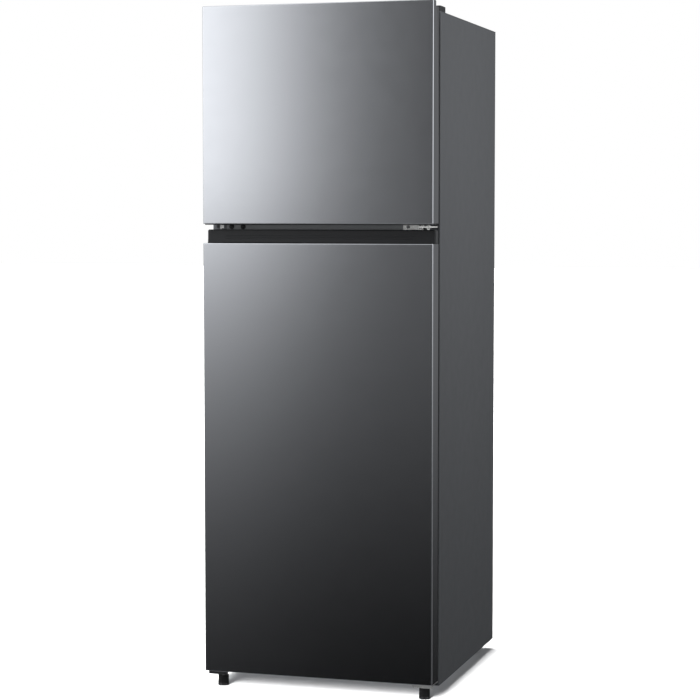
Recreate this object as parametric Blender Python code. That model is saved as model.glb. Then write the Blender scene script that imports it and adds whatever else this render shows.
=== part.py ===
"""Top freezer refrigerator, 24 inch width: foamed cabinet, two steel doors and their fittings.

Metres, +Z up. The front faces -Y. The origin is on the floor, below the middle of the whole.
"""

import bmesh
import bpy
import numpy as np
from mathutils import Matrix, Vector

# Overall size
WIDTH = 0.600
DEPTH = 0.680
HALF = WIDTH / 2
FRONT = -DEPTH / 2
BACK = DEPTH / 2
GAP = 0.0003
SHEET = 0.0012

# Doors
DOOR_REAR = -0.2815
DOOR_BOTTOM = 0.045
PANEL_TOP = 1.139
LOWER_DOOR_TOP = 1.173
UPPER_DOOR_BOTTOM = 1.187
UPPER_DOOR_TOP = 1.732
EDGE_RADIUS = 0.003
CAP = 0.0160
CAP_RECESS = 0.0012
NOTCH_FRONT = -0.3155
NOTCH_LEFT = 0.250
NOTCH_FLOOR = 1.718

# Cabinet
CABINET_FRONT = -0.268
CABINET_BOTTOM = 0.029
CABINET_TOP = 1.710
FLANGE = 0.0383
FOAM_FRONT = -0.2657
MULLION_LOW = 1.1355
MULLION_HIGH = 1.2175
BAY_FRONT = 0.135
BAY_TOP = 0.275

# Cavities, inside faces of the plastic liners
CAVITY = 0.250
LINER = 0.002
LINER_LIP = 0.0095
CAVITY_BACK = 0.285
LOWER_FLOOR = 0.100
LOWER_CEILING = 1.133
UPPER_FLOOR = 1.220
UPPER_CEILING = 1.655
STEP_Y = 0.100
STEP_Z = 0.318
LINER_DRAFT = 0.001

# Hinge line that both doors turn on
PIVOT_X = 0.278
PIVOT_Y = -0.300
PIN = 0.0035
PIN_HOLE = 0.0041

# Machine bay and feet
FOOT_X = 0.268
FOOT_Y = -0.290
FOOT_RADIUS = 0.014
ROLLER_X = 0.262
ROLLER_Y = 0.280
ROLLER_RADIUS = 0.0135
ROLLER_HALF = 0.0085
TRAY = 0.0022
CORD_X = -0.245
CORD_Z = 0.060

# Air circuit and controls
FAN_Y = 0.234
FAN_Z = 1.560
FAN_REACH = 0.048
DIAL_X = 0.070
DIAL_Y = -0.190
DIAL_Z = 1.1135

# Screw and plug holes across the mullion
MULLION_Z = 1.180
HINGE_HOLES = (0.218, 0.249)
HINGE_TOP = 1.1815
HINGE_THICKNESS = 0.0025

# Crisper drawer
CRISPER_FRONT = -0.160
CRISPER_BACK = 0.092
CRISPER_LOW = 0.1035
CRISPER_HIGH = 0.318


def clear_scene():
    for obj in list(bpy.data.objects):
        bpy.data.objects.remove(obj)


def material(name, colour, roughness, metallic=0.0, alpha=1.0):
    made = bpy.data.materials.new(name)
    made.use_nodes = True
    shader = made.node_tree.nodes["Principled BSDF"]
    shader.inputs["Base Color"].default_value = (*colour, 1.0)
    shader.inputs["Roughness"].default_value = roughness
    shader.inputs["Metallic"].default_value = metallic
    shader.inputs["Alpha"].default_value = alpha
    return made


def finish(bm, name, look, pivot=(0.0, 0.0, 0.0)):
    """One object from a bmesh, its origin moved to the pivot."""
    bmesh.ops.remove_doubles(bm, verts=bm.verts, dist=1e-6)
    bmesh.ops.recalc_face_normals(bm, faces=bm.faces)
    bmesh.ops.translate(bm, verts=bm.verts, vec=-Vector(pivot))
    mesh = bpy.data.meshes.new(name)
    bm.to_mesh(mesh)
    bm.free()
    mesh.shade_smooth()
    mesh.set_sharp_from_angle(angle=np.radians(35))
    obj = bpy.data.objects.new(name, mesh)
    obj.location = pivot
    bpy.context.scene.collection.objects.link(obj)
    if look is not None:
        mesh.materials.append(material(name, *look))
    return obj


def add_box(bm, low, high):
    sides = [h - l for l, h in zip(low, high)]
    centre = [(h + l) / 2 for l, h in zip(low, high)]
    matrix = Matrix.Translation(centre) @ Matrix.Diagonal((*sides, 1.0))
    bmesh.ops.create_cube(bm, size=1.0, matrix=matrix)


def box(name, low, high, look):
    bm = bmesh.new()
    add_box(bm, low, high)
    return finish(bm, name, look)


def rounded(corners, radii, steps=3):
    """The corners of a polygon, each replaced by an arc of its radius."""
    points = []
    count = len(corners)
    for i, corner in enumerate(corners):
        here = np.array(corner, float)
        before = np.array(corners[i - 1], float)
        after = np.array(corners[(i + 1) % count], float)
        radius = radii[i]
        if radius <= 0:
            points.append(tuple(here))
            continue
        u = (before - here) / np.linalg.norm(before - here)
        v = (after - here) / np.linalg.norm(after - here)
        half = np.arccos(np.clip(u @ v, -1, 1)) / 2
        centre = here + (u + v) / np.linalg.norm(u + v) * radius / np.sin(half)
        start = here + u * radius / np.tan(half)
        end = here + v * radius / np.tan(half)
        a = start - centre
        b = end - centre
        sweep = np.arctan2(a[0] * b[1] - a[1] * b[0], a @ b)
        for k in range(steps + 1):
            t = sweep * k / steps
            turned = (a[0] * np.cos(t) - a[1] * np.sin(t), a[0] * np.sin(t) + a[1] * np.cos(t))
            points.append((centre[0] + turned[0], centre[1] + turned[1]))
    return points


def rectangle(low, high, radius, steps=3):
    corners = [(low[0], low[1]), (high[0], low[1]), (high[0], high[1]), (low[0], high[1])]
    return rounded(corners, [radius] * 4, steps)


def placed(u, v, w, axis):
    """A point of an outline (u, v) at w along the axis that the outline is extruded on."""
    return {"x": (w, u, v), "y": (u, w, v), "z": (u, v, w)}[axis]


def add_prism(bm, outline, axis, low, high):
    verts = [bm.verts.new(placed(u, v, low, axis)) for u, v in outline]
    face = bm.faces.new(verts)
    made = bmesh.ops.extrude_face_region(bm, geom=[face])
    moved = [e for e in made["geom"] if isinstance(e, bmesh.types.BMVert)]
    shift = Vector(placed(0.0, 0.0, high - low, axis))
    bmesh.ops.translate(bm, verts=moved, vec=shift)


def prism(name, outline, axis, low, high, look, pivot=(0.0, 0.0, 0.0)):
    bm = bmesh.new()
    add_prism(bm, outline, axis, low, high)
    return finish(bm, name, look, pivot)


def ring_loops(bm, rings, axis):
    """Vertices of outlines with equal point counts: [(outline, height), ...]."""
    return [[bm.verts.new(placed(u, v, w, axis)) for u, v in ring] for ring, w in rings]


def skin(bm, loops):
    for first, second in zip(loops, loops[1:]):
        for i in range(len(first)):
            j = (i + 1) % len(first)
            bm.faces.new((first[i], first[j], second[j], second[i]))


def add_loft(bm, rings, axis):
    """A skin through the outlines, closed at its two ends."""
    loops = ring_loops(bm, rings, axis)
    bm.faces.new(loops[0])
    bm.faces.new(list(reversed(loops[-1])))
    skin(bm, loops)


def loft(name, rings, axis, look, pivot=(0.0, 0.0, 0.0)):
    bm = bmesh.new()
    add_loft(bm, rings, axis)
    return finish(bm, name, look, pivot)


def hollow_ring(name, rings, axis, look, pivot=(0.0, 0.0, 0.0)):
    """A ring-shaped piece: a skin through the outlines and back to the first."""
    bm = bmesh.new()
    loops = ring_loops(bm, rings, axis)
    skin(bm, loops + loops[:1])
    return finish(bm, name, look, pivot)


def circle(cx, cy, radius, steps=20):
    turns = [2 * np.pi * k / steps for k in range(steps)]
    return [(cx + radius * np.cos(t), cy + radius * np.sin(t)) for t in turns]


def stack(name, centre, profile, axis, look, steps=20, pivot=(0.0, 0.0, 0.0)):
    """A round piece from [(radius, height), ...] along an axis."""
    rings = [(circle(centre[0], centre[1], r, steps), w) for r, w in profile]
    return loft(name, rings, axis, look, pivot)


def boolean(obj, other, operation):
    """A live Boolean. The other object is a helper that never renders."""
    other.hide_render = True
    other.display_type = "WIRE"
    modifier = obj.modifiers.new(operation.title(), "BOOLEAN")
    modifier.solver = "EXACT"
    modifier.operation = operation
    modifier.use_self = operation == "UNION"
    modifier.object = other


def cut(obj, build):
    bm = bmesh.new()
    build(bm)
    boolean(obj, finish(bm, obj.name + "_cutter", None), "DIFFERENCE")


def join(obj, build):
    bm = bmesh.new()
    build(bm)
    boolean(obj, finish(bm, obj.name + "_added", None), "UNION")


# Looks: colour, roughness, metallic
DARK_STEEL = ((0.13, 0.135, 0.14), 0.28, 1.0)
GREY_PAINT = ((0.10, 0.105, 0.11), 0.45)
GALVANISED = ((0.55, 0.56, 0.57), 0.45, 1.0)
NICKEL = ((0.72, 0.72, 0.72), 0.25, 1.0)
BLACK_PLASTIC = ((0.015, 0.015, 0.017), 0.45)
GREY_PLASTIC = ((0.06, 0.062, 0.065), 0.45)
WHITE_PLASTIC = ((0.80, 0.81, 0.82), 0.35)
CLEAR_PLASTIC = ((0.80, 0.86, 0.90), 0.10, 0.0, 0.35)
SHELF_GLASS = ((0.75, 0.85, 0.82), 0.05, 0.0, 0.35)
FOAM = ((0.80, 0.68, 0.42), 0.9)
RUBBER = ((0.02, 0.02, 0.02), 0.7)
GREY_GASKET = ((0.09, 0.09, 0.095), 0.6)
COPPER = ((0.72, 0.38, 0.22), 0.3, 1.0)
ALUMINIUM = ((0.75, 0.76, 0.77), 0.35, 1.0)
BLACK_PAINT = ((0.02, 0.02, 0.022), 0.4)


def side_panels():
    """Sheet steel sides with a wide front flange and a narrow rear one."""
    for name, side in (("side_panel_left", -1), ("side_panel_right", 1)):
        inner = HALF - SHEET
        corners = [
            (HALF, CABINET_FRONT),
            (HALF, BACK),
            (0.280, BACK),
            (0.280, BACK - SHEET),
            (inner, BACK - SHEET),
            (inner, CABINET_FRONT + 0.002),
            (HALF - FLANGE + GAP, CABINET_FRONT + 0.002),
            (HALF - FLANGE + GAP, CABINET_FRONT),
        ]
        radii = [0.0015, 0.002, 0, 0, 0, 0, 0, 0]
        outline = [(side * x, y) for x, y in rounded(corners, radii, 2)]
        prism(name, outline, "z", CABINET_BOTTOM, 1.7085, GREY_PAINT)


def top_panel():
    """Roof sheet with the front flange that the upper gasket closes on."""
    low = UPPER_CEILING + LINER_LIP + LINER + GAP
    panel = box("top_panel", (-HALF, CABINET_FRONT, 1.7088), (HALF, BACK, CABINET_TOP), GREY_PAINT)
    reach = HALF - FLANGE
    join(panel, lambda bm: add_box(bm, (-reach, CABINET_FRONT, low), (reach, -0.266, 1.7094)))


def back_panel():
    low = BAY_TOP
    box("back_panel", (-0.2797, BACK - SHEET, low), (0.2797, BACK, 1.7085), GALVANISED)


def base_pan():
    """One bent sheet: floor of the cabinet, front wall and roof of the machine bay."""
    t = SHEET
    z = CABINET_BOTTOM
    corners = [
        (-0.2655, z),
        (BAY_FRONT, z),
        (BAY_FRONT, BAY_TOP),
        (0.3385, BAY_TOP),
        (0.3385, BAY_TOP + t),
        (BAY_FRONT - t, BAY_TOP + t),
        (BAY_FRONT - t, z + t),
        (-0.2655, z + t),
    ]
    pan = prism("base_pan", corners, "x", -0.2985, 0.2985, GALVANISED)
    reach = HALF - FLANGE
    high = LOWER_FLOOR - LINER_LIP - LINER - GAP
    flange = [(CABINET_FRONT, z), (-0.2600, z), (-0.2600, z + t), (-0.266, z + t), (-0.266, high)]
    flange.append((CABINET_FRONT, high))
    join(pan, lambda bm: add_prism(bm, flange, "x", -reach, reach))


def liner_rings(half, low, high, back, radius, step=None):
    """Outlines of a liner from its closed back, over the front lip and in again."""
    rings = []

    def ring(grow, y, bottom):
        draft = LINER_DRAFT if step is not None and bottom == step[1] else 0.0
        width = half + grow - draft
        outline = rectangle((-width, bottom - grow), (width, high + grow - draft), radius)
        rings.append((outline, y))

    lip_back = CABINET_FRONT + 0.002
    if step is None:
        ring(LINER, back + LINER, low)
    else:
        ring(LINER, back + LINER, step[1])
        ring(LINER, step[0] + LINER, step[1])
        ring(LINER, step[0] + LINER, low)
    ring(LINER, lip_back, low)
    ring(LINER + LINER_LIP, lip_back, low)
    ring(LINER + LINER_LIP, CABINET_FRONT, low)
    ring(0.0, CABINET_FRONT, low)
    if step is not None:
        ring(0.0, step[0], low)
        ring(0.0, step[0], step[1])
        ring(0.0, back, step[1])
    else:
        ring(0.0, back, low)
    return rings


def add_ledges(bm, heights, front, rear):
    """Moulded rails that the shelves lie on, one on each wall."""
    for z in heights:
        for side in (-1, 1):
            x = sorted((side * 0.2402, side * 0.2505))
            add_box(bm, (x[0], front, z - 0.010), (x[1], rear, z))


def liners():
    """Vacuum-formed plastic linings, each with its shelf rails."""
    rings = liner_rings(CAVITY, UPPER_FLOOR, UPPER_CEILING, CAVITY_BACK, 0.012)
    upper = loft("freezer_liner", rings, "y", WHITE_PLASTIC)
    join(upper, lambda bm: add_ledges(bm, [1.420], -0.160, 0.205))
    step = (STEP_Y, STEP_Z)
    rings = liner_rings(CAVITY, LOWER_FLOOR, LOWER_CEILING, CAVITY_BACK, 0.012, step)
    lower = loft("fridge_liner", rings, "y", WHITE_PLASTIC)
    join(lower, lambda bm: add_ledges(bm, [0.600, 0.860], -0.160, 0.255))
    join(lower, lambda bm: add_ledges(bm, [0.327], -0.160, 0.095))


def freezer_space(bm):
    """What the freezer liner takes out of the foam."""
    grow = LINER + GAP
    low = (-CAVITY - grow, UPPER_FLOOR - grow)
    high = (CAVITY + grow, UPPER_CEILING + grow)
    add_prism(bm, rectangle(low, high, 0.010), "y", -0.300, CAVITY_BACK + grow)


def fridge_space(bm):
    """What the fridge liner takes out of the foam, stepped over the machine bay."""
    grow = LINER + GAP

    def ring(bottom):
        draft = LINER_DRAFT if bottom == STEP_Z else 0.0
        width = CAVITY + grow - draft
        return rectangle((-width, bottom - grow), (width, LOWER_CEILING + grow - draft), 0.010)

    deep = STEP_Y + grow
    rings = [
        (ring(STEP_Z), CAVITY_BACK + grow),
        (ring(STEP_Z), deep),
        (ring(LOWER_FLOOR), deep),
        (ring(LOWER_FLOOR), -0.300),
    ]
    add_loft(bm, rings, "y")


def insulation_foam():
    """Foam that fills the cabinet between its outer sheets and the two liners."""
    x = 0.2984
    corners = [
        (FOAM_FRONT, CABINET_BOTTOM + SHEET + GAP),
        (BAY_FRONT - SHEET - GAP, CABINET_BOTTOM + SHEET + GAP),
        (BAY_FRONT - SHEET - GAP, BAY_TOP + SHEET + GAP),
        (0.3384, BAY_TOP + SHEET + GAP),
        (0.3384, 1.7085),
        (FOAM_FRONT, 1.7085),
    ]
    foam = prism("insulation_foam", corners, "x", -x, x, FOAM)
    cut(foam, freezer_space)
    cut(foam, fridge_space)


def centre_mullion():
    """Painted steel strip across the front of the wall between the two cavities."""
    reach = HALF - FLANGE
    low = (-reach, CABINET_FRONT, LOWER_CEILING + LINER + LINER_LIP + GAP)
    high = (reach, -0.266, UPPER_FLOOR - LINER - LINER_LIP - GAP)
    strip = box("centre_mullion", low, high, GREY_PAINT)

    def holes(bm):
        for x in HINGE_HOLES:
            add_prism(bm, circle(-x, MULLION_Z, 0.0040, 12), "y", -0.270, -0.264)

    cut(strip, holes)


def mullion_plugs():
    """Push-in plugs in the holes left for a hinge on the other side."""
    profile = [
        (0.0036, -0.2662),
        (0.0036, -0.2683),
        (0.0065, -0.2683),
        (0.0065, -0.2700),
        (0.0045, -0.2712),
    ]
    for name, x in zip(("mullion_plug_right", "mullion_plug_left"), HINGE_HOLES):
        stack(name, (-x, MULLION_Z), profile, "y", GREY_PLASTIC, 12)


def middle_hinge():
    """Nickel-plated bracket on the mullion: a plate in the door gap with a pin up and a pin down."""
    wall = CABINET_FRONT - GAP
    flange = rectangle((0.205, 1.168), (0.2585, 1.198), 0.003, 2)
    hinge = prism("middle_hinge", flange, "y", wall - HINGE_THICKNESS, wall, NICKEL)

    def plate(bm):
        corners = [
            (0.2550, wall - 0.0006),
            (0.2600, -0.3215),
            (0.2930, -0.3215),
            (0.2930, -0.2790),
            (0.2750, wall - 0.0006),
        ]
        outline = rounded(corners, [0, 0.008, 0.012, 0.006, 0], 3)
        add_prism(bm, outline, "z", HINGE_TOP - 0.0030, HINGE_TOP)

    def pins(bm):
        add_prism(bm, circle(PIVOT_X, PIVOT_Y, PIN, 16), "z", 1.1610, 1.1985)

    def holes(bm):
        for x in HINGE_HOLES:
            add_prism(bm, circle(x, MULLION_Z, 0.0026, 12), "y", -0.280, -0.264)

    join(hinge, plate)
    join(hinge, pins)
    cut(hinge, holes)


def middle_hinge_screws():
    wall = CABINET_FRONT - GAP
    face = wall - HINGE_THICKNESS - GAP
    profile = [
        (0.0022, wall - 0.0002),
        (0.0022, face),
        (0.0042, face),
        (0.0042, face - 0.0010),
        (0.0030, face - 0.0022),
    ]
    for name, x in zip(("middle_hinge_screw_left", "middle_hinge_screw_right"), HINGE_HOLES):
        stack(name, (x, MULLION_Z), profile, "y", BLACK_PAINT, 12)


def top_hinge():
    """Joggled steel plate on the roof with the pin of the freezer door."""
    roof = CABINET_TOP + GAP
    upper = 1.7195
    step = [
        (-0.3075, upper),
        (-0.2640, upper),
        (-0.2640, roof),
        (-0.2200, roof),
        (-0.2200, roof + HINGE_THICKNESS),
        (-0.2615, roof + HINGE_THICKNESS),
        (-0.2615, upper + HINGE_THICKNESS),
        (-0.3075, upper + HINGE_THICKNESS),
    ]
    hinge = prism("top_hinge", step, "x", 0.2600, 0.2834, NICKEL)
    pin = circle(PIVOT_X, PIVOT_Y, PIN, 16)
    join(hinge, lambda bm: add_prism(bm, pin, "z", 1.7065, 1.7205))


def top_hinge_cover():
    """Hollow plastic cap over the hinge, open below."""
    wall = 0.0015
    front = -0.3100
    step = -0.2658
    rear = -0.2140
    roof = 1.7104
    top = 1.7245
    side = [(front, 1.7190), (step, 1.7190), (step, roof), (rear, roof), (rear, top), (front, top)]
    inner = [
        (front + wall, 1.7150),
        (step + wall, 1.7150),
        (step + wall, 1.7080),
        (rear - wall, 1.7080),
        (rear - wall, top - wall),
        (front + wall, top - wall),
    ]
    cover = prism("top_hinge_cover", side, "x", 0.2560, 0.2850, BLACK_PLASTIC)
    join(cover, lambda bm: add_box(bm, (0.2500, -0.2640, roof), (0.2985, -0.2135, top)))
    cut(cover, lambda bm: add_prism(bm, inner, "x", 0.2560 + wall, 0.2850 - wall))


def foot_bracket(name, side, look):
    """Bent bracket below a front corner, screwed to the cabinet, that a levelling foot stands in."""
    wall = CABINET_FRONT - GAP
    corners = [
        (wall, 0.0385),
        (-0.3185, 0.0385),
        (-0.3185, 0.0330),
        (-0.3210, 0.0330),
        (-0.3210, 0.0410),
        (wall, 0.0410),
    ]
    x = sorted((side * 0.2450, side * 0.2965))
    tail = sorted((side * 0.2050, side * 0.2580))
    bracket = prism(name, corners, "x", x[0], x[1], look)
    low = (tail[0], wall - HINGE_THICKNESS, 0.0385)
    join(bracket, lambda bm: add_box(bm, low, (tail[1], wall, 0.0580)))
    return bracket


def bottom_hinge():
    """The right bracket, with the pin that carries the fridge door, and its plain twin."""
    hinge = foot_bracket("bottom_hinge", 1, NICKEL)
    pin = circle(PIVOT_X, PIVOT_Y, PIN, 16)
    join(hinge, lambda bm: add_prism(bm, pin, "z", 0.0400, 0.0585))
    foot_bracket("left_foot_bracket", -1, GALVANISED)


def front_feet():
    """Ribbed levelling feet. The thread is part of the foot."""
    for name, side in (("front_foot_left", -1), ("front_foot_right", 1)):
        x = side * FOOT_X
        ribs = 20
        outline = []
        for k in range(ribs * 2):
            turn = np.pi * k / ribs
            radius = FOOT_RADIUS - (0.0009 if k % 2 else 0.0)
            outline.append((x + radius * np.cos(turn), FOOT_Y + radius * np.sin(turn)))
        small = [(x + (u - x) * 0.86, FOOT_Y + (v - FOOT_Y) * 0.86) for u, v in outline]
        stud = [(x + (u - x) * 0.27, FOOT_Y + (v - FOOT_Y) * 0.27) for u, v in outline]
        rings = [(small, 0.0), (outline, 0.0022), (outline, 0.0275), (stud, 0.0275), (stud, 0.0382)]
        loft(name, rings, "z", BLACK_PLASTIC, (x, FOOT_Y, 0.0))


def compressor_tray():
    """Bottom sheet of the machine bay, with ears and axles for the rollers."""
    t = TRAY
    z = CABINET_BOTTOM
    low = (-0.2985, BAY_FRONT + 0.0004, z)
    tray = box("compressor_tray", low, (0.2985, 0.3385, z + t), GALVANISED)

    def ears(bm):
        for side in (-1, 1):
            for offset in (-0.0115, 0.0115):
                x = side * ROLLER_X + offset
                front = (x - 0.001, ROLLER_Y - 0.012, 0.0065)
                add_box(bm, front, (x + 0.001, ROLLER_Y + 0.012, z + t / 2))

    def axles(bm):
        for side in (-1, 1):
            x = side * ROLLER_X
            outline = circle(ROLLER_Y, ROLLER_RADIUS, 0.0030, 12)
            add_prism(bm, outline, "x", x - 0.0115, x + 0.0115)

    join(tray, ears)
    join(tray, axles)


def rear_rollers():
    profile = [
        (0.0036, -ROLLER_HALF),
        (ROLLER_RADIUS - 0.001, -ROLLER_HALF),
        (ROLLER_RADIUS, 0.002 - ROLLER_HALF),
        (ROLLER_RADIUS, ROLLER_HALF - 0.002),
        (ROLLER_RADIUS - 0.001, ROLLER_HALF),
        (0.0036, ROLLER_HALF),
    ]
    for name, side in (("rear_roller_left", -1), ("rear_roller_right", 1)):
        x = side * ROLLER_X
        rings = [(circle(ROLLER_Y, ROLLER_RADIUS, r), x + offset) for r, offset in profile]
        hollow_ring(name, rings, "x", RUBBER, (x, ROLLER_Y, ROLLER_RADIUS))


def compressor():
    """Oval steel shell, seamed at mid height, on a base plate with four feet."""

    def oval(grow):
        turns = [2 * np.pi * k / 24 for k in range(24)]
        return [(0.105 + 0.095 * grow * np.cos(a), 0.237 + 0.078 * grow * np.sin(a)) for a in turns]

    shell = [
        (0.70, 0.0425),
        (0.90, 0.0500),
        (0.97, 0.0700),
        (0.97, 0.1200),
        (1.03, 0.1220),
        (1.03, 0.1280),
        (0.97, 0.1300),
        (0.95, 0.1650),
        (0.82, 0.1900),
        (0.50, 0.2030),
    ]
    body = loft("compressor", [(oval(g), h) for g, h in shell], "z", BLACK_PAINT)

    def feet(bm):
        add_box(bm, (0.030, 0.170, 0.0410), (0.180, 0.180, 0.0450))
        add_box(bm, (0.030, 0.294, 0.0410), (0.180, 0.304, 0.0450))
        add_box(bm, (0.060, 0.175, 0.0412), (0.150, 0.299, 0.0448))
        bottom = CABINET_BOTTOM + TRAY + GAP
        for x in (0.045, 0.165):
            for y in (0.175, 0.299):
                add_box(bm, (x - 0.006, y - 0.004, bottom), (x + 0.006, y + 0.004, 0.0420))

    join(body, feet)


def drain_pan():
    """Shallow open pan above the compressor, which dries what the drain brings."""

    def pan(grow, h):
        return (rectangle((0.0 - grow, 0.152 - grow), (0.215 + grow, 0.325 + grow), 0.012), h)

    rings = [pan(-0.010, 0.2180), pan(0.0, 0.2500), pan(-0.002, 0.2500), pan(-0.0115, 0.2200)]
    loft("drain_pan", rings, "z", BLACK_PLASTIC)


def filter_drier():
    profile = [(0.003, 0.090), (0.011, 0.102), (0.011, 0.186), (0.003, 0.198)]
    stack("filter_drier", (-0.075, 0.230), profile, "z", COPPER, 12)


def discharge_pipe():
    """Copper pipe from the compressor's side up and over into the drier's top."""
    points = [
        (0.0050, 0.2370, 0.1500),
        (-0.0150, 0.2370, 0.1500),
        (-0.0250, 0.2360, 0.1500),
        (-0.0320, 0.2340, 0.1500),
        (-0.0400, 0.2320, 0.1570),
        (-0.0440, 0.2310, 0.1700),
        (-0.0460, 0.2300, 0.1900),
        (-0.0500, 0.2300, 0.2050),
        (-0.0600, 0.2300, 0.2120),
        (-0.0700, 0.2300, 0.2100),
        (-0.0750, 0.2300, 0.2050),
        (-0.0750, 0.2300, 0.1984),
    ]
    curve = bpy.data.curves.new("discharge_pipe", "CURVE")
    curve.dimensions = "3D"
    curve.bevel_depth = 0.0024
    curve.bevel_resolution = 2
    curve.use_fill_caps = True
    spline = curve.splines.new("POLY")
    spline.points.add(len(points) - 1)
    for point, place in zip(spline.points, points):
        point.co = (*place, 1.0)
    pipe = bpy.data.objects.new("discharge_pipe", curve)
    bpy.context.scene.collection.objects.link(pipe)
    curve.materials.append(material("discharge_pipe", *COPPER))


def machine_cover():
    """Removable rear sheet of the machine bay: two rows of vents and the hole for the mains cord."""
    cover = box("machine_cover", (-0.2797, BACK - SHEET, 0.0335), (0.2797, BACK, 0.2745), GALVANISED)

    def vents(bm):
        for row in range(2):
            for k in range(11):
                x = -0.200 + 0.040 * k
                low = 0.080 + 0.085 * row
                add_box(bm, (x - 0.003, 0.330, low), (x + 0.003, 0.350, low + 0.060))

    cut(cover, vents)
    entry = circle(CORD_X, CORD_Z, 0.0100, 12)
    cut(cover, lambda bm: add_prism(bm, entry, "y", 0.330, 0.350))
    profile = [(0.0125, 0.3340), (0.0125, 0.3384), (0.0096, 0.3384), (0.0096, 0.3398)]
    stack("cord_gland", (CORD_X, CORD_Z), profile, "y", RUBBER, 16)


def evaporator_cover():
    """Moulded cover across the back of the freezer: round fan grille and a row of return slots."""
    low = UPPER_FLOOR + 0.0005
    outline = rectangle((-0.2490, low), (0.2490, UPPER_CEILING - 0.0005), 0.013)
    cover = prism("evaporator_cover", outline, "y", 0.2150, 0.2180, WHITE_PLASTIC)

    def slots(bm):
        for k in range(9):
            z = FAN_Z - 0.040 + 0.010 * k
            half = np.sqrt(0.050**2 - (z - FAN_Z) ** 2)
            add_box(bm, (-half, 0.210, z - 0.0028), (half, 0.222, z + 0.0028))
        for k in range(9):
            x = -0.200 + 0.050 * k
            add_box(bm, (x - 0.018, 0.210, 1.236), (x + 0.018, 0.222, 1.244))

    cut(cover, slots)


def evaporator():
    """Finned aluminium block behind the cover."""
    fins = 24
    pitch = 0.400 / fins
    outline = [(-0.200, 0.282)]
    for k in range(fins):
        x = -0.200 + pitch * k
        outline += [(x, 0.232), (x + 0.0030, 0.232), (x + 0.0030, 0.274), (x + pitch, 0.274)]
    outline += [(0.200, 0.232), (0.203, 0.232), (0.203, 0.282)]
    prism("evaporator", outline, "z", 1.262, 1.470, ALUMINIUM)


def add_blade(bm, turn):
    """One flat fan blade, pitched, and turned round the fan's axis."""
    count = len(bm.verts)
    add_box(bm, (0.012, -0.0010, -0.0130), (FAN_REACH, 0.0010, 0.0130))
    bm.verts.ensure_lookup_table()
    turned = Matrix.Rotation(turn, 4, "Y") @ Matrix.Rotation(np.radians(52), 4, "X")
    matrix = Matrix.Translation((0.0, FAN_Y, FAN_Z)) @ turned
    bmesh.ops.transform(bm, matrix=matrix, verts=bm.verts[count:])


def evaporator_fan():
    profile = [(0.014, 0.2235), (0.016, 0.2250), (0.016, 0.2440), (0.012, 0.2450)]
    pivot = (0.0, FAN_Y, FAN_Z)
    rotor = stack("evaporator_fan", (0.0, FAN_Z), profile, "y", BLACK_PLASTIC, 16, pivot)

    def blades(bm):
        for k in range(5):
            add_blade(bm, 2 * np.pi * k / 5)

    join(rotor, blades)


def fan_motor():
    """Motor can on a strap across the air space."""
    profile = [(0.004, 0.2458), (0.020, 0.2520), (0.024, 0.2560), (0.024, 0.2780), (0.018, 0.2840)]
    motor = stack("fan_motor", (0.0, FAN_Z), profile, "y", GREY_PLASTIC, 16)
    low = (-0.060, 0.2660, FAN_Z - 0.006)
    join(motor, lambda bm: add_box(bm, low, (0.060, 0.2700, FAN_Z + 0.006)))


def air_duct():
    """Cold air duct up the fridge's rear wall, with three pairs of outlets."""
    duct = box("air_duct", (-0.090, 0.2630, 0.400), (0.090, 0.2845, 1.120), WHITE_PLASTIC)

    def outlets(bm):
        for z in (0.480, 0.740, 1.000):
            for side in (-1, 1):
                x = sorted((side * 0.020, side * 0.070))
                add_box(bm, (x[0], 0.2600, z - 0.004), (x[1], 0.2760, z + 0.004))

    cut(duct, outlets)


def control_housing():
    """Wedge under the fridge's ceiling that holds the dial and the lamp."""
    corners = [(-0.190, 1.1327), (-0.190, 1.094), (-0.050, 1.086), (-0.020, 1.1327)]
    outline = rounded(corners, [0, 0.006, 0.010, 0], 3)
    housing = prism("control_housing", outline, "x", -0.120, 0.120, WHITE_PLASTIC)
    shaft = circle(DIAL_X, DIAL_Z, 0.0045, 12)
    cut(housing, lambda bm: add_prism(bm, shaft, "y", -0.200, -0.178))


def temperature_dial():
    """Round knob with a raised grip and a shaft into the housing."""
    profile = [
        (0.0035, -0.1810),
        (0.0035, -0.1905),
        (0.0150, -0.1905),
        (0.0160, -0.1920),
        (0.0155, -0.2010),
        (0.0140, -0.2020),
    ]
    pivot = (DIAL_X, DIAL_Y, DIAL_Z)
    knob = stack("temperature_dial", (DIAL_X, DIAL_Z), profile, "y", GREY_PLASTIC, 20, pivot)
    low = (DIAL_X - 0.0025, -0.2070, DIAL_Z - 0.0130)
    join(knob, lambda bm: add_box(bm, low, (DIAL_X + 0.0025, -0.2000, DIAL_Z + 0.0130)))


def lamp_lens():
    corners = [(-0.175, 1.0927 - GAP), (-0.065, 1.0864 - GAP), (-0.075, 1.0790), (-0.168, 1.0850)]
    outline = rounded(corners, [0, 0, 0.004, 0.004], 2)
    prism("lamp_lens", outline, "x", -0.095, 0.020, CLEAR_PLASTIC)


def shelves():
    """Glass plates on the liner's rails. Their trims grip the front and rear edges."""
    rows = [
        ("fridge_shelf_upper", 0.860, 0.2580),
        ("fridge_shelf_middle", 0.600, 0.2580),
        ("freezer_shelf", 1.420, 0.2120),
    ]
    for name, z, rear in rows:
        outline = rectangle((-0.2485, -0.165), (0.2485, rear), 0.006, 2)
        prism(name, outline, "z", z + GAP, z + GAP + 0.0040, SHELF_GLASS)
    outline = rectangle((-0.2460, -0.165), (0.2460, 0.2820), 0.006, 2)
    prism("crisper_cover", outline, "z", 0.3275, 0.3315, SHELF_GLASS)


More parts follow.
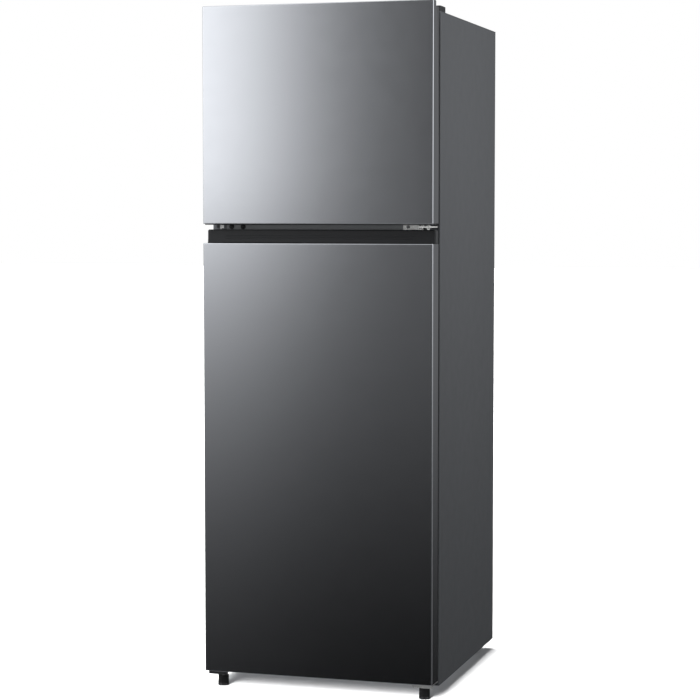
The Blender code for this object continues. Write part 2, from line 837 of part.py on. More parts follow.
def crisper_drawer():
    """Clear vegetable drawer with a slot in its front for the humidity slider."""

    def ring(grow, height):
        low = (-0.2360 - grow, CRISPER_FRONT - grow)
        return (rectangle(low, (0.2360 + grow, CRISPER_BACK + grow), 0.010), height)

    rings = [
        ring(-0.004, CRISPER_LOW),
        ring(0.0, CRISPER_HIGH),
        ring(-0.0025, CRISPER_HIGH),
        ring(-0.0065, CRISPER_LOW + 0.0025),
    ]
    drawer = loft("crisper_drawer", rings, "z", CLEAR_PLASTIC)
    cut(drawer, lambda bm: add_box(bm, (-0.030, -0.170, 0.3000), (0.030, -0.150, 0.3060)))


def humidity_slider():
    """Small flat knob whose tongue runs in the drawer's slot."""
    low = (-0.020, -0.1645, 0.2985)
    slider = box("humidity_slider", low, (-0.004, -0.1606, 0.3075), WHITE_PLASTIC)
    join(slider, lambda bm: add_box(bm, (-0.016, -0.1620, 0.3010), (-0.008, -0.1560, 0.3050)))


def door_skin(name, low, high):
    """Stainless sheet folded round the front and both sides of a door."""
    t = SHEET
    lip = 0.015
    corners = [
        (-HALF, FRONT),
        (HALF, FRONT),
        (HALF, DOOR_REAR),
        (HALF - lip, DOOR_REAR),
        (HALF - lip, DOOR_REAR - t),
        (HALF - t, DOOR_REAR - t),
        (HALF - t, FRONT + t),
        (-HALF + t, FRONT + t),
        (-HALF + t, DOOR_REAR - t),
        (-HALF + lip, DOOR_REAR - t),
        (-HALF + lip, DOOR_REAR),
        (-HALF, DOOR_REAR),
    ]
    inner = EDGE_RADIUS - t
    radii = [EDGE_RADIUS, EDGE_RADIUS, 0, 0, 0, 0, inner, inner, 0, 0, 0, 0]
    return prism(name, rounded(corners, radii, 3), "z", low, high, DARK_STEEL)


def door_core(name, low, high, look):
    """A block that fits inside a door skin: its foam or an end cap."""
    t = SHEET + GAP
    x = HALF - t
    corners = [(-x, FRONT + t), (x, FRONT + t), (x, DOOR_REAR - t), (-x, DOOR_REAR - t)]
    return prism(name, rounded(corners, [0.002, 0.002, 0, 0], 2), "z", low, high, look)


def pin_hole(bm, low, high):
    add_prism(bm, circle(PIVOT_X, PIVOT_Y, PIN_HOLE, 16), "z", low, high)


def door_liner(name, low, high, dyke_low, dyke_high):
    """Inner door panel with the raised frame that reaches into the cavity."""
    floor = DOOR_REAR + GAP

    def ring(half, bottom, top, y, radius):
        return (rectangle((-half, bottom), (half, top), radius), y)

    rings = [
        ring(0.2984, low, high, floor, 0.002),
        ring(0.2984, low, high, floor + 0.0015, 0.002),
        ring(0.2390, dyke_low - 0.004, dyke_high + 0.004, floor + 0.0015, 0.016),
        ring(0.2350, dyke_low, dyke_high, -0.2420, 0.014),
        ring(0.2335, dyke_low + 0.0015, dyke_high - 0.0015, -0.2400, 0.013),
        ring(0.2195, dyke_low + 0.0165, dyke_high - 0.0165, -0.2400, 0.010),
        ring(0.2180, dyke_low + 0.0180, dyke_high - 0.0180, floor + 0.0015, 0.009),
    ]
    return loft(name, rings, "y", WHITE_PLASTIC)


def gasket(name, low, high):
    """Magnetic seal, a ring on the inner door panel."""

    def ring(grow, y):
        return (rectangle((-0.276 + grow, low + grow), (0.276 - grow, high - grow), 0.004), y)

    rings = [
        ring(0.003, -0.2794),
        ring(0.0, -0.2750),
        ring(0.0, -0.2683),
        ring(0.018, -0.2683),
        ring(0.018, -0.2750),
        ring(0.015, -0.2794),
    ]
    hollow_ring(name, rings, "y", GREY_GASKET)


def door_bin(name, low, height, reach):
    """Open tray hooked between the side walls of the inner door panel."""

    def ring(shrink, z):
        corner = (-0.2170 + shrink, -0.2790 + shrink)
        return (rectangle(corner, (0.2170 - shrink, reach - shrink), 0.008), z)

    rings = [
        ring(0.004, low),
        ring(0.0, low + height),
        ring(0.0022, low + height),
        ring(0.0062, low + 0.0022),
    ]
    loft(name, rings, "z", CLEAR_PLASTIC)


def hinge_notch(bm):
    """The corner of the freezer door that is cut away behind its front, over the top hinge."""
    add_box(bm, (NOTCH_LEFT, NOTCH_FRONT, NOTCH_FLOOR), (0.310, -0.270, 1.750))


def freezer_door_caps(low):
    """Plastic end caps. The upper one holds the hinge pin, the lower one is hollowed as a grip."""
    cap = door_core("freezer_door_top_cap", 1.7035, UPPER_DOOR_TOP - CAP_RECESS, BLACK_PLASTIC)
    cut(cap, hinge_notch)
    cut(cap, lambda bm: pin_hole(bm, 1.7055, 1.7300))
    cap = door_core("freezer_door_bottom_cap", low, low + CAP, BLACK_PLASTIC)

    def grip_and_hole(bm):
        pin_hole(bm, low - 0.005, 1.2000)
        add_box(bm, (-0.200, -0.3300, low - 0.005), (0.200, -0.3060, low + 0.011))

    cut(cap, grip_and_hole)


def freezer_door():
    low = UPPER_DOOR_BOTTOM + CAP_RECESS
    skin = door_skin("freezer_door_skin", UPPER_DOOR_BOTTOM, UPPER_DOOR_TOP)
    cut(skin, hinge_notch)
    freezer_door_caps(low)
    door_core("freezer_door_foam", low + CAP + GAP, 1.7032, FOAM)
    door_liner("freezer_door_liner", low, 1.7165, 1.240, 1.640)
    gasket("freezer_door_gasket", 1.203, 1.706)
    door_bin("freezer_door_bin_upper", 1.455, 0.080, -0.195)
    door_bin("freezer_door_bin_lower", 1.262, 0.080, -0.195)


def fridge_door_top_cap():
    """Full-width plastic cap whose set-back upper face leaves room for fingers."""
    rear = DOOR_REAR - SHEET - GAP
    shelf = PANEL_TOP - CAP_RECESS
    inner = FRONT + SHEET + GAP
    side = [
        (inner, 1.121),
        (rear, 1.121),
        (rear, LOWER_DOOR_TOP),
        (-0.3095, LOWER_DOOR_TOP),
        (-0.3145, shelf),
        (inner, shelf),
    ]
    outline = rounded(side, [0, 0, 0.001, 0.003, 0.003, 0], 2)
    cap = prism("fridge_door_top_cap", outline, "x", -0.2979, 0.2979, BLACK_PLASTIC)

    def relief(bm):
        for sign in (-1, 1):
            x = sorted((sign * 0.2965, sign * 0.2990))
            add_box(bm, (x[0], -0.345, 1.110), (x[1], -0.3365, 1.145))

    cut(cap, relief)
    cut(cap, lambda bm: pin_hole(bm, 1.1590, 1.1800))


def fridge_door():
    low = DOOR_BOTTOM + CAP_RECESS
    door_skin("fridge_door_skin", DOOR_BOTTOM, PANEL_TOP)
    fridge_door_top_cap()
    cap = door_core("fridge_door_bottom_cap", low, low + CAP, BLACK_PLASTIC)
    cut(cap, lambda bm: pin_hole(bm, low - 0.005, 0.0600))
    door_core("fridge_door_foam", low + CAP + GAP, 1.1207, FOAM)
    door_liner("fridge_door_liner", low, 1.1720, 0.112, 1.108)
    gasket("fridge_door_gasket", 0.060, 1.163)
    door_bin("fridge_door_bin_upper", 0.930, 0.075, -0.190)
    door_bin("fridge_door_bin_middle", 0.600, 0.080, -0.190)
    door_bin("fridge_door_bin_lower", 0.135, 0.130, -0.190)


def main():
    clear_scene()
    side_panels()
    top_panel()
    back_panel()
    base_pan()
    liners()
    insulation_foam()
    centre_mullion()
    mullion_plugs()
    middle_hinge()
    middle_hinge_screws()
    top_hinge()
    top_hinge_cover()
    bottom_hinge()
    front_feet()
    compressor_tray()
    rear_rollers()
    compressor()
    drain_pan()
    filter_drier()
    discharge_pipe()
    machine_cover()
    evaporator_cover()
    evaporator()
    evaporator_fan()
    fan_motor()
    air_duct()
    control_housing()
    temperature_dial()
    lamp_lens()
    shelves()
    crisper_drawer()
    humidity_slider()
    freezer_door()
    fridge_door()


main()
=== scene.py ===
import math
import bmesh
import bpy
from mathutils import Matrix, Vector


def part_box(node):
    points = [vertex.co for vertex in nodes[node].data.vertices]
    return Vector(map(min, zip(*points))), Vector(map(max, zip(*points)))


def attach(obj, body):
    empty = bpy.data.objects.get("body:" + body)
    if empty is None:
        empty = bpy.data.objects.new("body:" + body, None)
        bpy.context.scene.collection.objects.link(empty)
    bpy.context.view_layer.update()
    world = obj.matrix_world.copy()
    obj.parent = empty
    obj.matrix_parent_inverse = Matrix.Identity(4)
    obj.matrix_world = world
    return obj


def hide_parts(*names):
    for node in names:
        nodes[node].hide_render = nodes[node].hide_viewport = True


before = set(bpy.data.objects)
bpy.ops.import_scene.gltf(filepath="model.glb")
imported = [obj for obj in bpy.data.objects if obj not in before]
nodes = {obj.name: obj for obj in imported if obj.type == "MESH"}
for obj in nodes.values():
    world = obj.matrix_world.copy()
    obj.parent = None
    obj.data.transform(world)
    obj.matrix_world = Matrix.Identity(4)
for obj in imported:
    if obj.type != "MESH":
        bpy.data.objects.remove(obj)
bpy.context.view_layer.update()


# Camera: a long lens standing about five metres away, to the right of the doors and
# at chest height, so that both doors and the whole right side show.
camera_place = Vector((1.555, -5.203, 1.211))
camera_turn, camera_dip = 0.293, 0.066
camera_ahead = Vector((-math.sin(camera_turn), math.cos(camera_turn), -math.tan(camera_dip)))
camera_data = bpy.data.cameras.new("product_camera")
camera_data.lens = 105.5
camera_data.sensor_width = 36.0
camera_data.clip_end = 100.0
camera = bpy.data.objects.new("product_camera", camera_data)
camera_aim = camera_ahead.to_track_quat("-Z", "Y").to_matrix().to_4x4()
camera.matrix_world = Matrix.Translation(camera_place) @ camera_aim
bpy.context.scene.collection.objects.link(camera)
bpy.context.scene.camera = camera


# Studio: a pale seamless floor under a white background. A tall soft panel on the
# left gives the doors their sheen, and panels overhead and on the right fill in.
bpy.context.scene.view_settings.view_transform = "Standard"


def add_node(tree, kind, settings=None, **inputs):
    """A shader node with its settings, and the values or links of its inputs. i0 is the first input."""
    node = tree.nodes.new(kind)
    for key, value in (settings or {}).items():
        setattr(node, key, value)
    for key, value in inputs.items():
        numbered = key[0] == "i" and key[1:].isdigit()
        socket = node.inputs[int(key[1:])] if numbered else node.inputs[key.replace("_", " ")]
        if isinstance(value, bpy.types.NodeSocket):
            tree.links.new(value, socket)
        else:
            socket.default_value = value
    return node


def calc(tree, operation, *values):
    """A Math node's output."""
    inputs = {"i%d" % i: value for i, value in enumerate(values)}
    return add_node(tree, "ShaderNodeMath", {"operation": operation}, **inputs).outputs[0]


def times(tree, first, *others):
    for other in others:
        first = calc(tree, "MULTIPLY", first, other)
    return first


def plus(tree, first, *others):
    for other in others:
        first = calc(tree, "ADD", first, other)
    return first


def fade(tree, value, start, end, high=1.0, low=0.0):
    """A smooth change from high at start to low at end."""
    return add_node(tree, "ShaderNodeMapRange", {"interpolation_type": "SMOOTHSTEP"}, Value=value,
                    From_Min=start, From_Max=end, To_Min=high, To_Max=low).outputs[0]


room_tone = 0.104
panel_tone = 1.62
world = bpy.data.worlds.new("studio")
bpy.context.scene.world = world
world.use_nodes = True
sky = world.node_tree
sky.nodes.clear()
view = add_node(sky, "ShaderNodeTexCoord").outputs["Generated"]
axes = add_node(sky, "ShaderNodeSeparateXYZ", Vector=view).outputs
degrees = 180 / math.pi
# Azimuth is 0 in front of the doors and grows towards the left. Height is 0 at the horizon.
azimuth = calc(sky, "ARCTAN2", times(sky, axes["X"], -1.0), times(sky, axes["Y"], -1.0))
azimuth = times(sky, azimuth, degrees)
height = times(sky, calc(sky, "ARCSINE", axes["Z"]), degrees)
# The room is mid grey and a little lighter at the rear, and falls to black below the horizon.
room_low = calc(sky, "MINIMUM", plus(sky, height, 1.5), 0.0)
room_low = times(sky, room_low, room_low)
room_rear = fade(sky, calc(sky, "ABSOLUTE", azimuth), 60.0, 150.0, 0.0, 1.0)
room_front = times(sky, calc(sky, "EXPONENT", calc(sky, "DIVIDE", room_low, -50.0)), room_tone)
room_back = times(sky, calc(sky, "EXPONENT", calc(sky, "DIVIDE", room_low, -62.0)), 1.6 * room_tone)
room = plus(sky, times(sky, room_front, calc(sky, "SUBTRACT", 1.0, room_rear)),
            times(sky, room_back, room_rear))
# The soft panel fades in towards the left, and out below the horizon.
panel_side = calc(sky, "MINIMUM", calc(sky, "SUBTRACT", azimuth, 21.5), 0.0)
panel_side = calc(sky, "EXPONENT", calc(sky, "DIVIDE", times(sky, panel_side, panel_side), -8.6))
panel_low = calc(sky, "MINIMUM", calc(sky, "SUBTRACT", height, 0.9), 0.0)
panel_low = calc(sky, "EXPONENT", calc(sky, "DIVIDE", panel_low, 3.1))
panel_ends = times(sky, fade(sky, azimuth, 60.0, 100.0), fade(sky, height, 35.0, 60.0))
panel = times(sky, panel_side, panel_low, panel_tone, panel_ends)
# In reflections there is also a bright ceiling, a bright floor, and slim panels at the
# right and at the rear, which put fine highlights on rounded edges.
ceiling = fade(sky, height, 14.0, 55.0, 0.0, 0.5)
ground = fade(sky, height, -70.0, -24.0, 0.65, 0.0)
slim_panel = times(sky, fade(sky, azimuth, -28.0, -52.0, 0.0, 1.5), fade(sky, azimuth, -88.0, -112.0),
                   fade(sky, height, -10.0, 4.0, 0.0, 1.0))
rear_left = times(sky, fade(sky, azimuth, 100.0, 130.0, 0.0, 0.5), fade(sky, azimuth, 164.0, 176.0))
rear_right = times(sky, fade(sky, azimuth, -112.0, -120.0, 0.0, 0.45), fade(sky, azimuth, -138.0, -148.0))
rear_panels = times(sky, plus(sky, rear_left, rear_right), fade(sky, height, -45.0, -30.0, 0.0, 1.0))
# The floor gives back a little light to either side of the dark patch in front.
glow_left = times(sky, fade(sky, azimuth, 27.0, 42.0, 0.0, 0.20), fade(sky, azimuth, 60.0, 100.0))
glow_right = times(sky, fade(sky, azimuth, 6.0, -8.0, 0.0, 0.065), fade(sky, azimuth, -120.0, -150.0))
glow_height = times(sky, fade(sky, height, -1.5, -9.0, 0.0, 1.0), fade(sky, height, -55.0, -35.0, 0.0, 1.0))
low_glow = times(sky, plus(sky, glow_left, glow_right), glow_height)
in_reflection = add_node(sky, "ShaderNodeLightPath").outputs["Is Glossy Ray"]
mirrored = times(sky, plus(sky, plus(sky, ceiling, ground), plus(sky, slim_panel, rear_panels, low_glow)),
                 in_reflection)
studio_tone = plus(sky, room, panel, mirrored)
studio_colour = add_node(sky, "ShaderNodeCombineColor", Red=times(sky, studio_tone, 0.985),
                         Green=studio_tone, Blue=times(sky, studio_tone, 1.03)).outputs[0]
lit_room = add_node(sky, "ShaderNodeBackground", Color=studio_colour, Strength=1.0)
white_wall = add_node(sky, "ShaderNodeBackground", Color=(1.0, 1.0, 1.0, 1.0), Strength=1.0)
seen_directly = add_node(sky, "ShaderNodeLightPath").outputs["Is Camera Ray"]
both = add_node(sky, "ShaderNodeMixShader", Fac=seen_directly, i1=lit_room.outputs[0],
                i2=white_wall.outputs[0])
add_node(sky, "ShaderNodeOutputWorld", Surface=both.outputs[0])

# The floor lies just under the feet, so that it doesn't cut into them.
floor_bm = bmesh.new()
bmesh.ops.create_grid(floor_bm, x_segments=1, y_segments=1, size=40.0)
bmesh.ops.translate(floor_bm, verts=floor_bm.verts, vec=(0.0, 0.0, -0.0004))
floor_mesh = bpy.data.meshes.new("studio_floor")
floor_bm.to_mesh(floor_mesh)
floor_bm.free()
floor = bpy.data.objects.new("studio_floor", floor_mesh)
bpy.context.scene.collection.objects.link(floor)
floor_paper = bpy.data.materials.new("floor_paper")
floor_paper.use_nodes = True
floor_shader = floor_paper.node_tree.nodes["Principled BSDF"].inputs
floor_shader["Base Color"].default_value = (0.88, 0.88, 0.88, 1.0)
floor_shader["Roughness"].default_value = 0.9
floor_shader["Specular IOR Level"].default_value = 0.0
floor_mesh.materials.append(floor_paper)
floor.visible_glossy = False
floor.visible_diffuse = False

# Each light is kept to the refrigerator or to the floor, so that the floor stays white.
refrigerator_only = bpy.data.collections.new("refrigerator_only")
refrigerator_only.objects.link(floor)
refrigerator_only.collection_objects[0].light_linking.link_state = "EXCLUDE"
floor_only = bpy.data.collections.new("floor_only")
floor_only.objects.link(floor)


def soft_light(name, kind, lit, place, target, power, **settings):
    """A light aimed at a target. It lights one collection, and isn't seen itself."""
    data = bpy.data.lights.new(name, kind)
    data.energy = power
    for key, value in settings.items():
        setattr(data, key, value)
    light = bpy.data.objects.new(name, data)
    aim = (Vector(target) - Vector(place)).to_track_quat("-Z", "Y")
    light.matrix_world = Matrix.Translation(place) @ aim.to_matrix().to_4x4()
    light.visible_camera = False
    light.visible_glossy = False
    light.light_linking.receiver_collection = lit
    bpy.context.scene.collection.objects.link(light)


for name, lit, place, power, width in (("floor_top", floor_only, (-0.056, 0.0, 4.0), 5.0, 2.2),
                                       ("floor_front", floor_only, (-0.26, -2.6, 1.15), 10.0, 22),
                                       ("ceiling_panel", refrigerator_only, (-0.8, -2.6, 4.0), 4.6, 56)):
    soft_light(name, "SUN", lit, place, (0.0, 0.0, 0.0), power, angle=math.radians(width))
soft_light("right_fill", "AREA", refrigerator_only, (1.5, -0.1, 1.62), (0.3, 0.0, 1.55), 14.5,
           shape="RECTANGLE", size=0.9, size_y=0.9)
soft_light("front_fill", "AREA", refrigerator_only, (-2.2, -4.2, 1.3), (0.0, -0.3, 1.1), 100.0,
           shape="RECTANGLE", size=1.2, size_y=2.0)


# Cabinet case: two side sheets and a roof of 0.6 mm steel, painted dark grey and roll
# formed. The paint has a very fine leather grain, and the folds have small radii.
def new_group(name, inputs, outputs):
    """An empty node group with its input and output nodes. An input is (name, kind, default)."""
    group = bpy.data.node_groups.new(name, "ShaderNodeTree")
    for label, kind, default in inputs:
        socket = group.interface.new_socket(label, in_out="INPUT", socket_type="NodeSocket" + kind)
        if default is not None:
            socket.default_value = default
    for label, kind in outputs:
        group.interface.new_socket(label, in_out="OUTPUT", socket_type="NodeSocket" + kind)
    return group, group.nodes.new("NodeGroupInput").outputs, group.nodes.new("NodeGroupOutput").inputs


def finish_group(name, *own_inputs):
    """A group that gives colour, roughness and height from a coordinate, a colour and its own inputs."""
    inputs = [("Coordinate", "Vector", None), ("Colour", "Color", (0.5, 0.5, 0.5, 1.0)), *own_inputs]
    return new_group(name, inputs, [("Colour", "Color"), ("Roughness", "Float"), ("Height", "Float")])


def put_out(tree, given, wanted, tone, gloss, relief):
    """Ends such a group: tone and gloss are swings about the plain colour and roughness."""
    scaled = add_node(tree, "ShaderNodeVectorMath", {"operation": "SCALE"}, i0=given["Colour"])
    tree.links.new(plus(tree, tone, 1.0), scaled.inputs["Scale"])
    tree.links.new(scaled.outputs[0], wanted["Colour"])
    tree.links.new(plus(tree, gloss, given["Roughness"]), wanted["Roughness"])
    tree.links.new(relief, wanted["Height"])


def noise(tree, where, scale, detail):
    return add_node(tree, "ShaderNodeTexNoise", Vector=where, Scale=scale, Detail=detail).outputs


def around_zero(tree, value, amount):
    """A noise value as a swing of this amount either way."""
    return times(tree, calc(tree, "SUBTRACT", value, 0.5), times(tree, amount, 2.0))


# Moulding and paint grain: a slow drift of tone over the piece, smudges in its gloss,
# and a fine pebble in its surface.
grain, given, wanted = finish_group("surface_grain", ("Tone Drift", "Float", 0.04),
                                    ("Roughness", "Float", 0.4), ("Gloss Smudges", "Float", 0.05),
                                    ("Grain Scale", "Float", 900.0))
broad = noise(grain, given["Coordinate"], 4.0, 3.0)[0]
smudge = noise(grain, given["Coordinate"], 31.0, 5.0)[0]
pebble = add_node(grain, "ShaderNodeTexVoronoi", {"feature": "SMOOTH_F1"}, Vector=given["Coordinate"],
                  Scale=given["Grain Scale"], Smoothness=0.7).outputs[0]
speckle = noise(grain, given["Coordinate"], given["Grain Scale"], 2.0)[0]
put_out(grain, given, wanted, plus(grain, around_zero(grain, broad, given["Tone Drift"]),
                                   around_zero(grain, speckle, given["Tone Drift"])),
        plus(grain, around_zero(grain, smudge, given["Gloss Smudges"]),
             around_zero(grain, speckle, times(grain, given["Gloss Smudges"], 0.5))),
        plus(grain, pebble, times(grain, speckle, 0.5)))

# Edge wear and painted highlight: a mask that is 1 on the corners of a piece, broken up by noise.
# The lighter colour laid there is partly a coating rubbed thin and partly a painted edge highlight.
wear_and_highlight, given, wanted = new_group(
    "edge_wear_and_highlight",
    [("Coordinate", "Vector", None), ("Width", "Float", 0.0008), ("Breakup", "Float", 120.0)],
    [("Mask", "Float")])
rounded = add_node(wear_and_highlight, "ShaderNodeBevel", {"samples": 4}, Radius=given["Width"]).outputs[0]
straight = add_node(wear_and_highlight, "ShaderNodeNewGeometry").outputs["Normal"]
turned = add_node(wear_and_highlight, "ShaderNodeVectorMath", {"operation": "DOT_PRODUCT"}, i0=rounded,
                  i1=straight).outputs["Value"]
broken = noise(wear_and_highlight, given["Coordinate"], given["Breakup"], 4.0)[0]
corner = fade(wear_and_highlight, turned, 0.80, 0.99)
wear_and_highlight.links.new(times(wear_and_highlight, corner, fade(wear_and_highlight, broken, 0.35, 0.62, 0.15, 1.0)), wanted["Mask"])


def finish_from(group, name, colour, roughness, bump, depth, own, worn=None, wear_width=0.0008, **sockets):
    """A material from a group and its own inputs, with lighter corners that are partly wear and partly
    painted highlight. Other names are the shader's sockets.
    """
    material = bpy.data.materials.new(name)
    material.use_nodes = True
    tree = material.node_tree
    shader = tree.nodes["Principled BSDF"].inputs
    place = add_node(tree, "ShaderNodeTexCoord").outputs["Object"]
    made = add_node(tree, "ShaderNodeGroup", {"node_tree": group}, Coordinate=place, Colour=(*colour, 1.0),
                    Roughness=roughness, **own).outputs
    shade = made["Colour"]
    # Corners take the lighter colour: partly wear, partly a painted edge highlight.
    if worn:
        mask = add_node(tree, "ShaderNodeGroup", {"node_tree": wear_and_highlight}, Coordinate=place,
                        Width=wear_width).outputs[0]
        shade = add_node(tree, "ShaderNodeMix", {"data_type": "RGBA"}, i0=mask, i6=shade,
                         i7=(*worn, 1.0)).outputs[2]
    tree.links.new(shade, shader["Base Color"])
    tree.links.new(made["Roughness"], shader["Roughness"])
    if bump:
        relief = add_node(tree, "ShaderNodeBump", Strength=bump, Distance=depth, Height=made["Height"])
        tree.links.new(relief.outputs[0], shader["Normal"])
    for key, value in sockets.items():
        shader[key.replace("_", " ")].default_value = value
    return material


def grained(name, colour, roughness, drift=0.04, smudges=0.05, grain_scale=900.0, depth=0.00005, bump=0.5,
            **more):
    """Paint, moulded plastic or rubber."""
    own = {"Tone_Drift": drift, "Gloss_Smudges": smudges, "Grain_Scale": grain_scale}
    return finish_from(grain, name, colour, roughness, bump, depth, own, **more)


def dress(material, *names):
    """Gives carried-over CAD nodes their finish."""
    for name in names:
        mesh = nodes[name].data
        mesh.materials.clear()
        mesh.materials.append(material)


def turned_block(bm, size, place):
    """A box of this size, put in its place by a matrix. Returns its vertices."""
    return bmesh.ops.create_cube(bm, size=1.0, matrix=place @ Matrix.Diagonal((*size, 1.0)))["verts"]


def add_block(bm, low, high):
    """A box between two corners. Returns its vertices."""
    size = [h - l for l, h in zip(low, high)]
    middle = [(h + l) / 2 for l, h in zip(low, high)]
    return turned_block(bm, size, Matrix.Translation(middle))


def edges_of(verts, test=lambda a, b: True):
    """The edges among these vertices whose two ends pass the test."""
    members = {vert for vert in verts if vert.is_valid}
    found = {edge for vert in members for edge in vert.link_edges if all(v in members for v in edge.verts)}
    return sorted((e for e in found if test(e.verts[0].co, e.verts[1].co)), key=lambda e: e.index)


def round_edges(bm, edges, radius, segments=4):
    bmesh.ops.bevel(bm, geom=edges, offset=radius, offset_type="OFFSET", segments=segments, profile=0.5,
                    affect="EDGES", material=-1, clamp_overlap=True)


def rounded_block(bm, low, high, radius, segments=3, test=lambda a, b: True):
    """A box between two corners, with those of its edges rounded that pass the test."""
    round_edges(bm, edges_of(add_block(bm, low, high), test), radius, segments)


def along(axis):
    """A test for edges that run along an axis: 0, 1 or 2."""
    others = [i for i in range(3) if i != axis]
    return lambda a, b: all(abs(a[i] - b[i]) < 1e-7 for i in others)


def across(axis):
    """A test for edges that lie square to an axis, such as the rims of a cylinder on it."""
    return lambda a, b: abs(a[axis] - b[axis]) < 1e-7


def finish_piece(bm, name, body, material, replaced=(), sharp=40.0, wall=0.0):
    """Closes a bmesh into a smooth piece that rides on a body, with a wall if its mesh is an open sheet."""
    bmesh.ops.remove_doubles(bm, verts=bm.verts, dist=2e-6)
    bmesh.ops.recalc_face_normals(bm, faces=bm.faces)
    mesh = bpy.data.meshes.new(name)
    bm.to_mesh(mesh)
    bm.free()
    mesh.shade_smooth()
    mesh.set_sharp_from_angle(angle=math.radians(sharp))
    mesh.materials.append(material)
    piece = bpy.data.objects.new(name, mesh)
    bpy.context.scene.collection.objects.link(piece)
    if wall:
        sheet = piece.modifiers.new("wall", "SOLIDIFY")
        sheet.thickness = wall
        sheet.offset = -1.0
        sheet.use_even_offset = True
    shading = piece.modifiers.new("flat_faces", "WEIGHTED_NORMAL")
    shading.keep_sharp = True
    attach(piece, body)
    if replaced:
        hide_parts(*replaced)


def folded_sheet(outline, low, high, bend, corners, segments=5):
    """A sheet on end, folded to an outline seen from above. corners are the outline's folded points."""
    bm = bmesh.new()
    foot = [bm.verts.new((x, y, low)) for x, y in outline]
    lines = [bm.edges.new(pair) for pair in zip(foot, foot[1:])]
    raised = bmesh.ops.extrude_edge_only(bm, edges=lines)["geom"]
    bmesh.ops.translate(bm, verts=[g for g in raised if isinstance(g, bmesh.types.BMVert)],
                        vec=(0, 0, high - low))
    folds = edges_of(bm.verts, lambda a, b: abs(a.z - b.z) > 1e-6
                     and any(abs(a.x - x) + abs(a.y - y) < 1e-6 for x, y in corners))
    round_edges(bm, folds, bend, segments)
    return bm


cabinet_paint = grained("cabinet_paint", (0.088, 0.092, 0.098), 0.42, drift=0.03, grain_scale=1500.0,
                        depth=0.00004)
for side, sign in (("left", -1), ("right", 1)):
    low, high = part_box("side_panel_" + side)
    outer, front, rear = sign * 0.300, low.y, high.y
    case_side = folded_sheet([(sign * 0.2622, front), (outer, front), (outer, rear), (sign * 0.2802, rear)],
                             low.z + 0.0004, high.z, 0.0030, [(outer, front), (outer, rear)])
    finish_piece(case_side, "case_side_" + side, "cabinet", cabinet_paint,
                 ("side_panel_" + side,), 60.0, 0.0006)

low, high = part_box("top_panel")
roof = bmesh.new()
rounded_block(roof, (low.x, low.y, high.z - 0.0012), high, 0.0009, 4,
              lambda a, b: min(a.z, b.z) > high.z - 1e-6)
rounded_block(roof, (-0.2615, low.y, low.z + 0.0005), (0.2615, low.y + 0.0008, high.z - 0.0008), 0.0003, 2)
finish_piece(roof, "case_roof", "cabinet", cabinet_paint, ("top_panel",))


# Insulation: rigid foam, blown in between the liners and the case. It only shows as a
# pale edge in cut-away views, with the fine pits of its cells.
foam_finish = grained("rigid_foam", (0.72, 0.66, 0.47), 0.85, drift=0.12, grain_scale=700.0, depth=0.0006)
dress(foam_finish, "insulation_foam", "freezer_door_foam", "fridge_door_foam")


# Back sheet: galvanised steel, pressed with shallow panels so that it doesn't drum. It
# is held under the side folds by a row of small screws down each edge.
zinc, given, wanted = finish_group("zinc_spangle", ("Roughness", "Float", 0.4),
                                   ("Spangle Size", "Float", 60.0))
bend = noise(zinc, given["Coordinate"], 45.0, 2.0)["Color"]
bend = add_node(zinc, "ShaderNodeVectorMath", {"operation": "SCALE"}, i0=bend, Scale=0.006).outputs[0]
bent = add_node(zinc, "ShaderNodeVectorMath", {"operation": "ADD"}, i0=given["Coordinate"],
                i1=bend).outputs[0]
crystal = add_node(zinc, "ShaderNodeTexVoronoi", Vector=bent, Scale=given["Spangle Size"]).outputs["Color"]
crystal = add_node(zinc, "ShaderNodeSeparateColor", Color=crystal).outputs
dull = noise(zinc, given["Coordinate"], 9.0, 6.0)[0]
put_out(zinc, given, wanted,
        plus(zinc, around_zero(zinc, crystal[0], 0.09), around_zero(zinc, dull, 0.12)),
        plus(zinc, around_zero(zinc, crystal[1], 0.07), around_zero(zinc, dull, 0.08)),
        plus(zinc, crystal[2], dull))


def plated(name, colour, roughness, spangle, metallic=1.0, **more):
    """Zinc, nickel or bare metal with a crystal pattern of this fineness."""
    own = {"Spangle_Size": spangle}
    return finish_from(zinc, name, colour, roughness, 0.3, 0.00003, own, Metallic=metallic, **more)


def cut_square(bm, axis, at):
    """Adds edges where a plane square to an axis crosses the mesh at a point."""
    facing = [1.0 if i == axis else 0.0 for i in range(3)]
    bmesh.ops.bisect_plane(bm, geom=bm.verts[:] + bm.edges[:] + bm.faces[:], plane_co=at, plane_no=facing)


galvanised = plated("galvanised_sheet", (0.56, 0.57, 0.58), 0.42, 90.0)
low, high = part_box("back_panel")
back = bmesh.new()
pressed_heights = ((0.330, 0.560), (0.600, 0.840), (0.880, 1.120), (1.160, 1.400), (1.440, 1.640))
pressed_half = 0.245
standing = Matrix.Rotation(math.pi / 2, 4, "X")
sheet_size = Matrix.Diagonal((0.559, 1.0, high.z - low.z - 0.0006, 1.0))
bmesh.ops.create_grid(back, x_segments=1, y_segments=1, size=0.5,
                      matrix=Matrix.Translation((0, high.y, (low.z + high.z) / 2)) @ sheet_size @ standing)
for cut in (-pressed_half, pressed_half):
    cut_square(back, 0, (cut, 0.0, 0.0))
for cut in [z for pair in pressed_heights for z in pair]:
    cut_square(back, 2, (0.0, 0.0, cut))
bmesh.ops.recalc_face_normals(back, faces=back.faces)
if back.faces[:][0].normal.y < 0:
    bmesh.ops.reverse_faces(back, faces=back.faces)
middles = [(f, f.calc_center_median()) for f in back.faces]
pressed = [f for f, c in middles if abs(c.x) < pressed_half and any(a < c.z < b for a, b in pressed_heights)]
for depth, margin in ((0.0, 0.004), (-0.0007, 0.0035)):
    bmesh.ops.inset_individual(back, faces=pressed, thickness=margin, depth=depth)
finish_piece(back, "back_sheet", "cabinet", galvanised, ("back_panel",), 60.0, 0.0003)


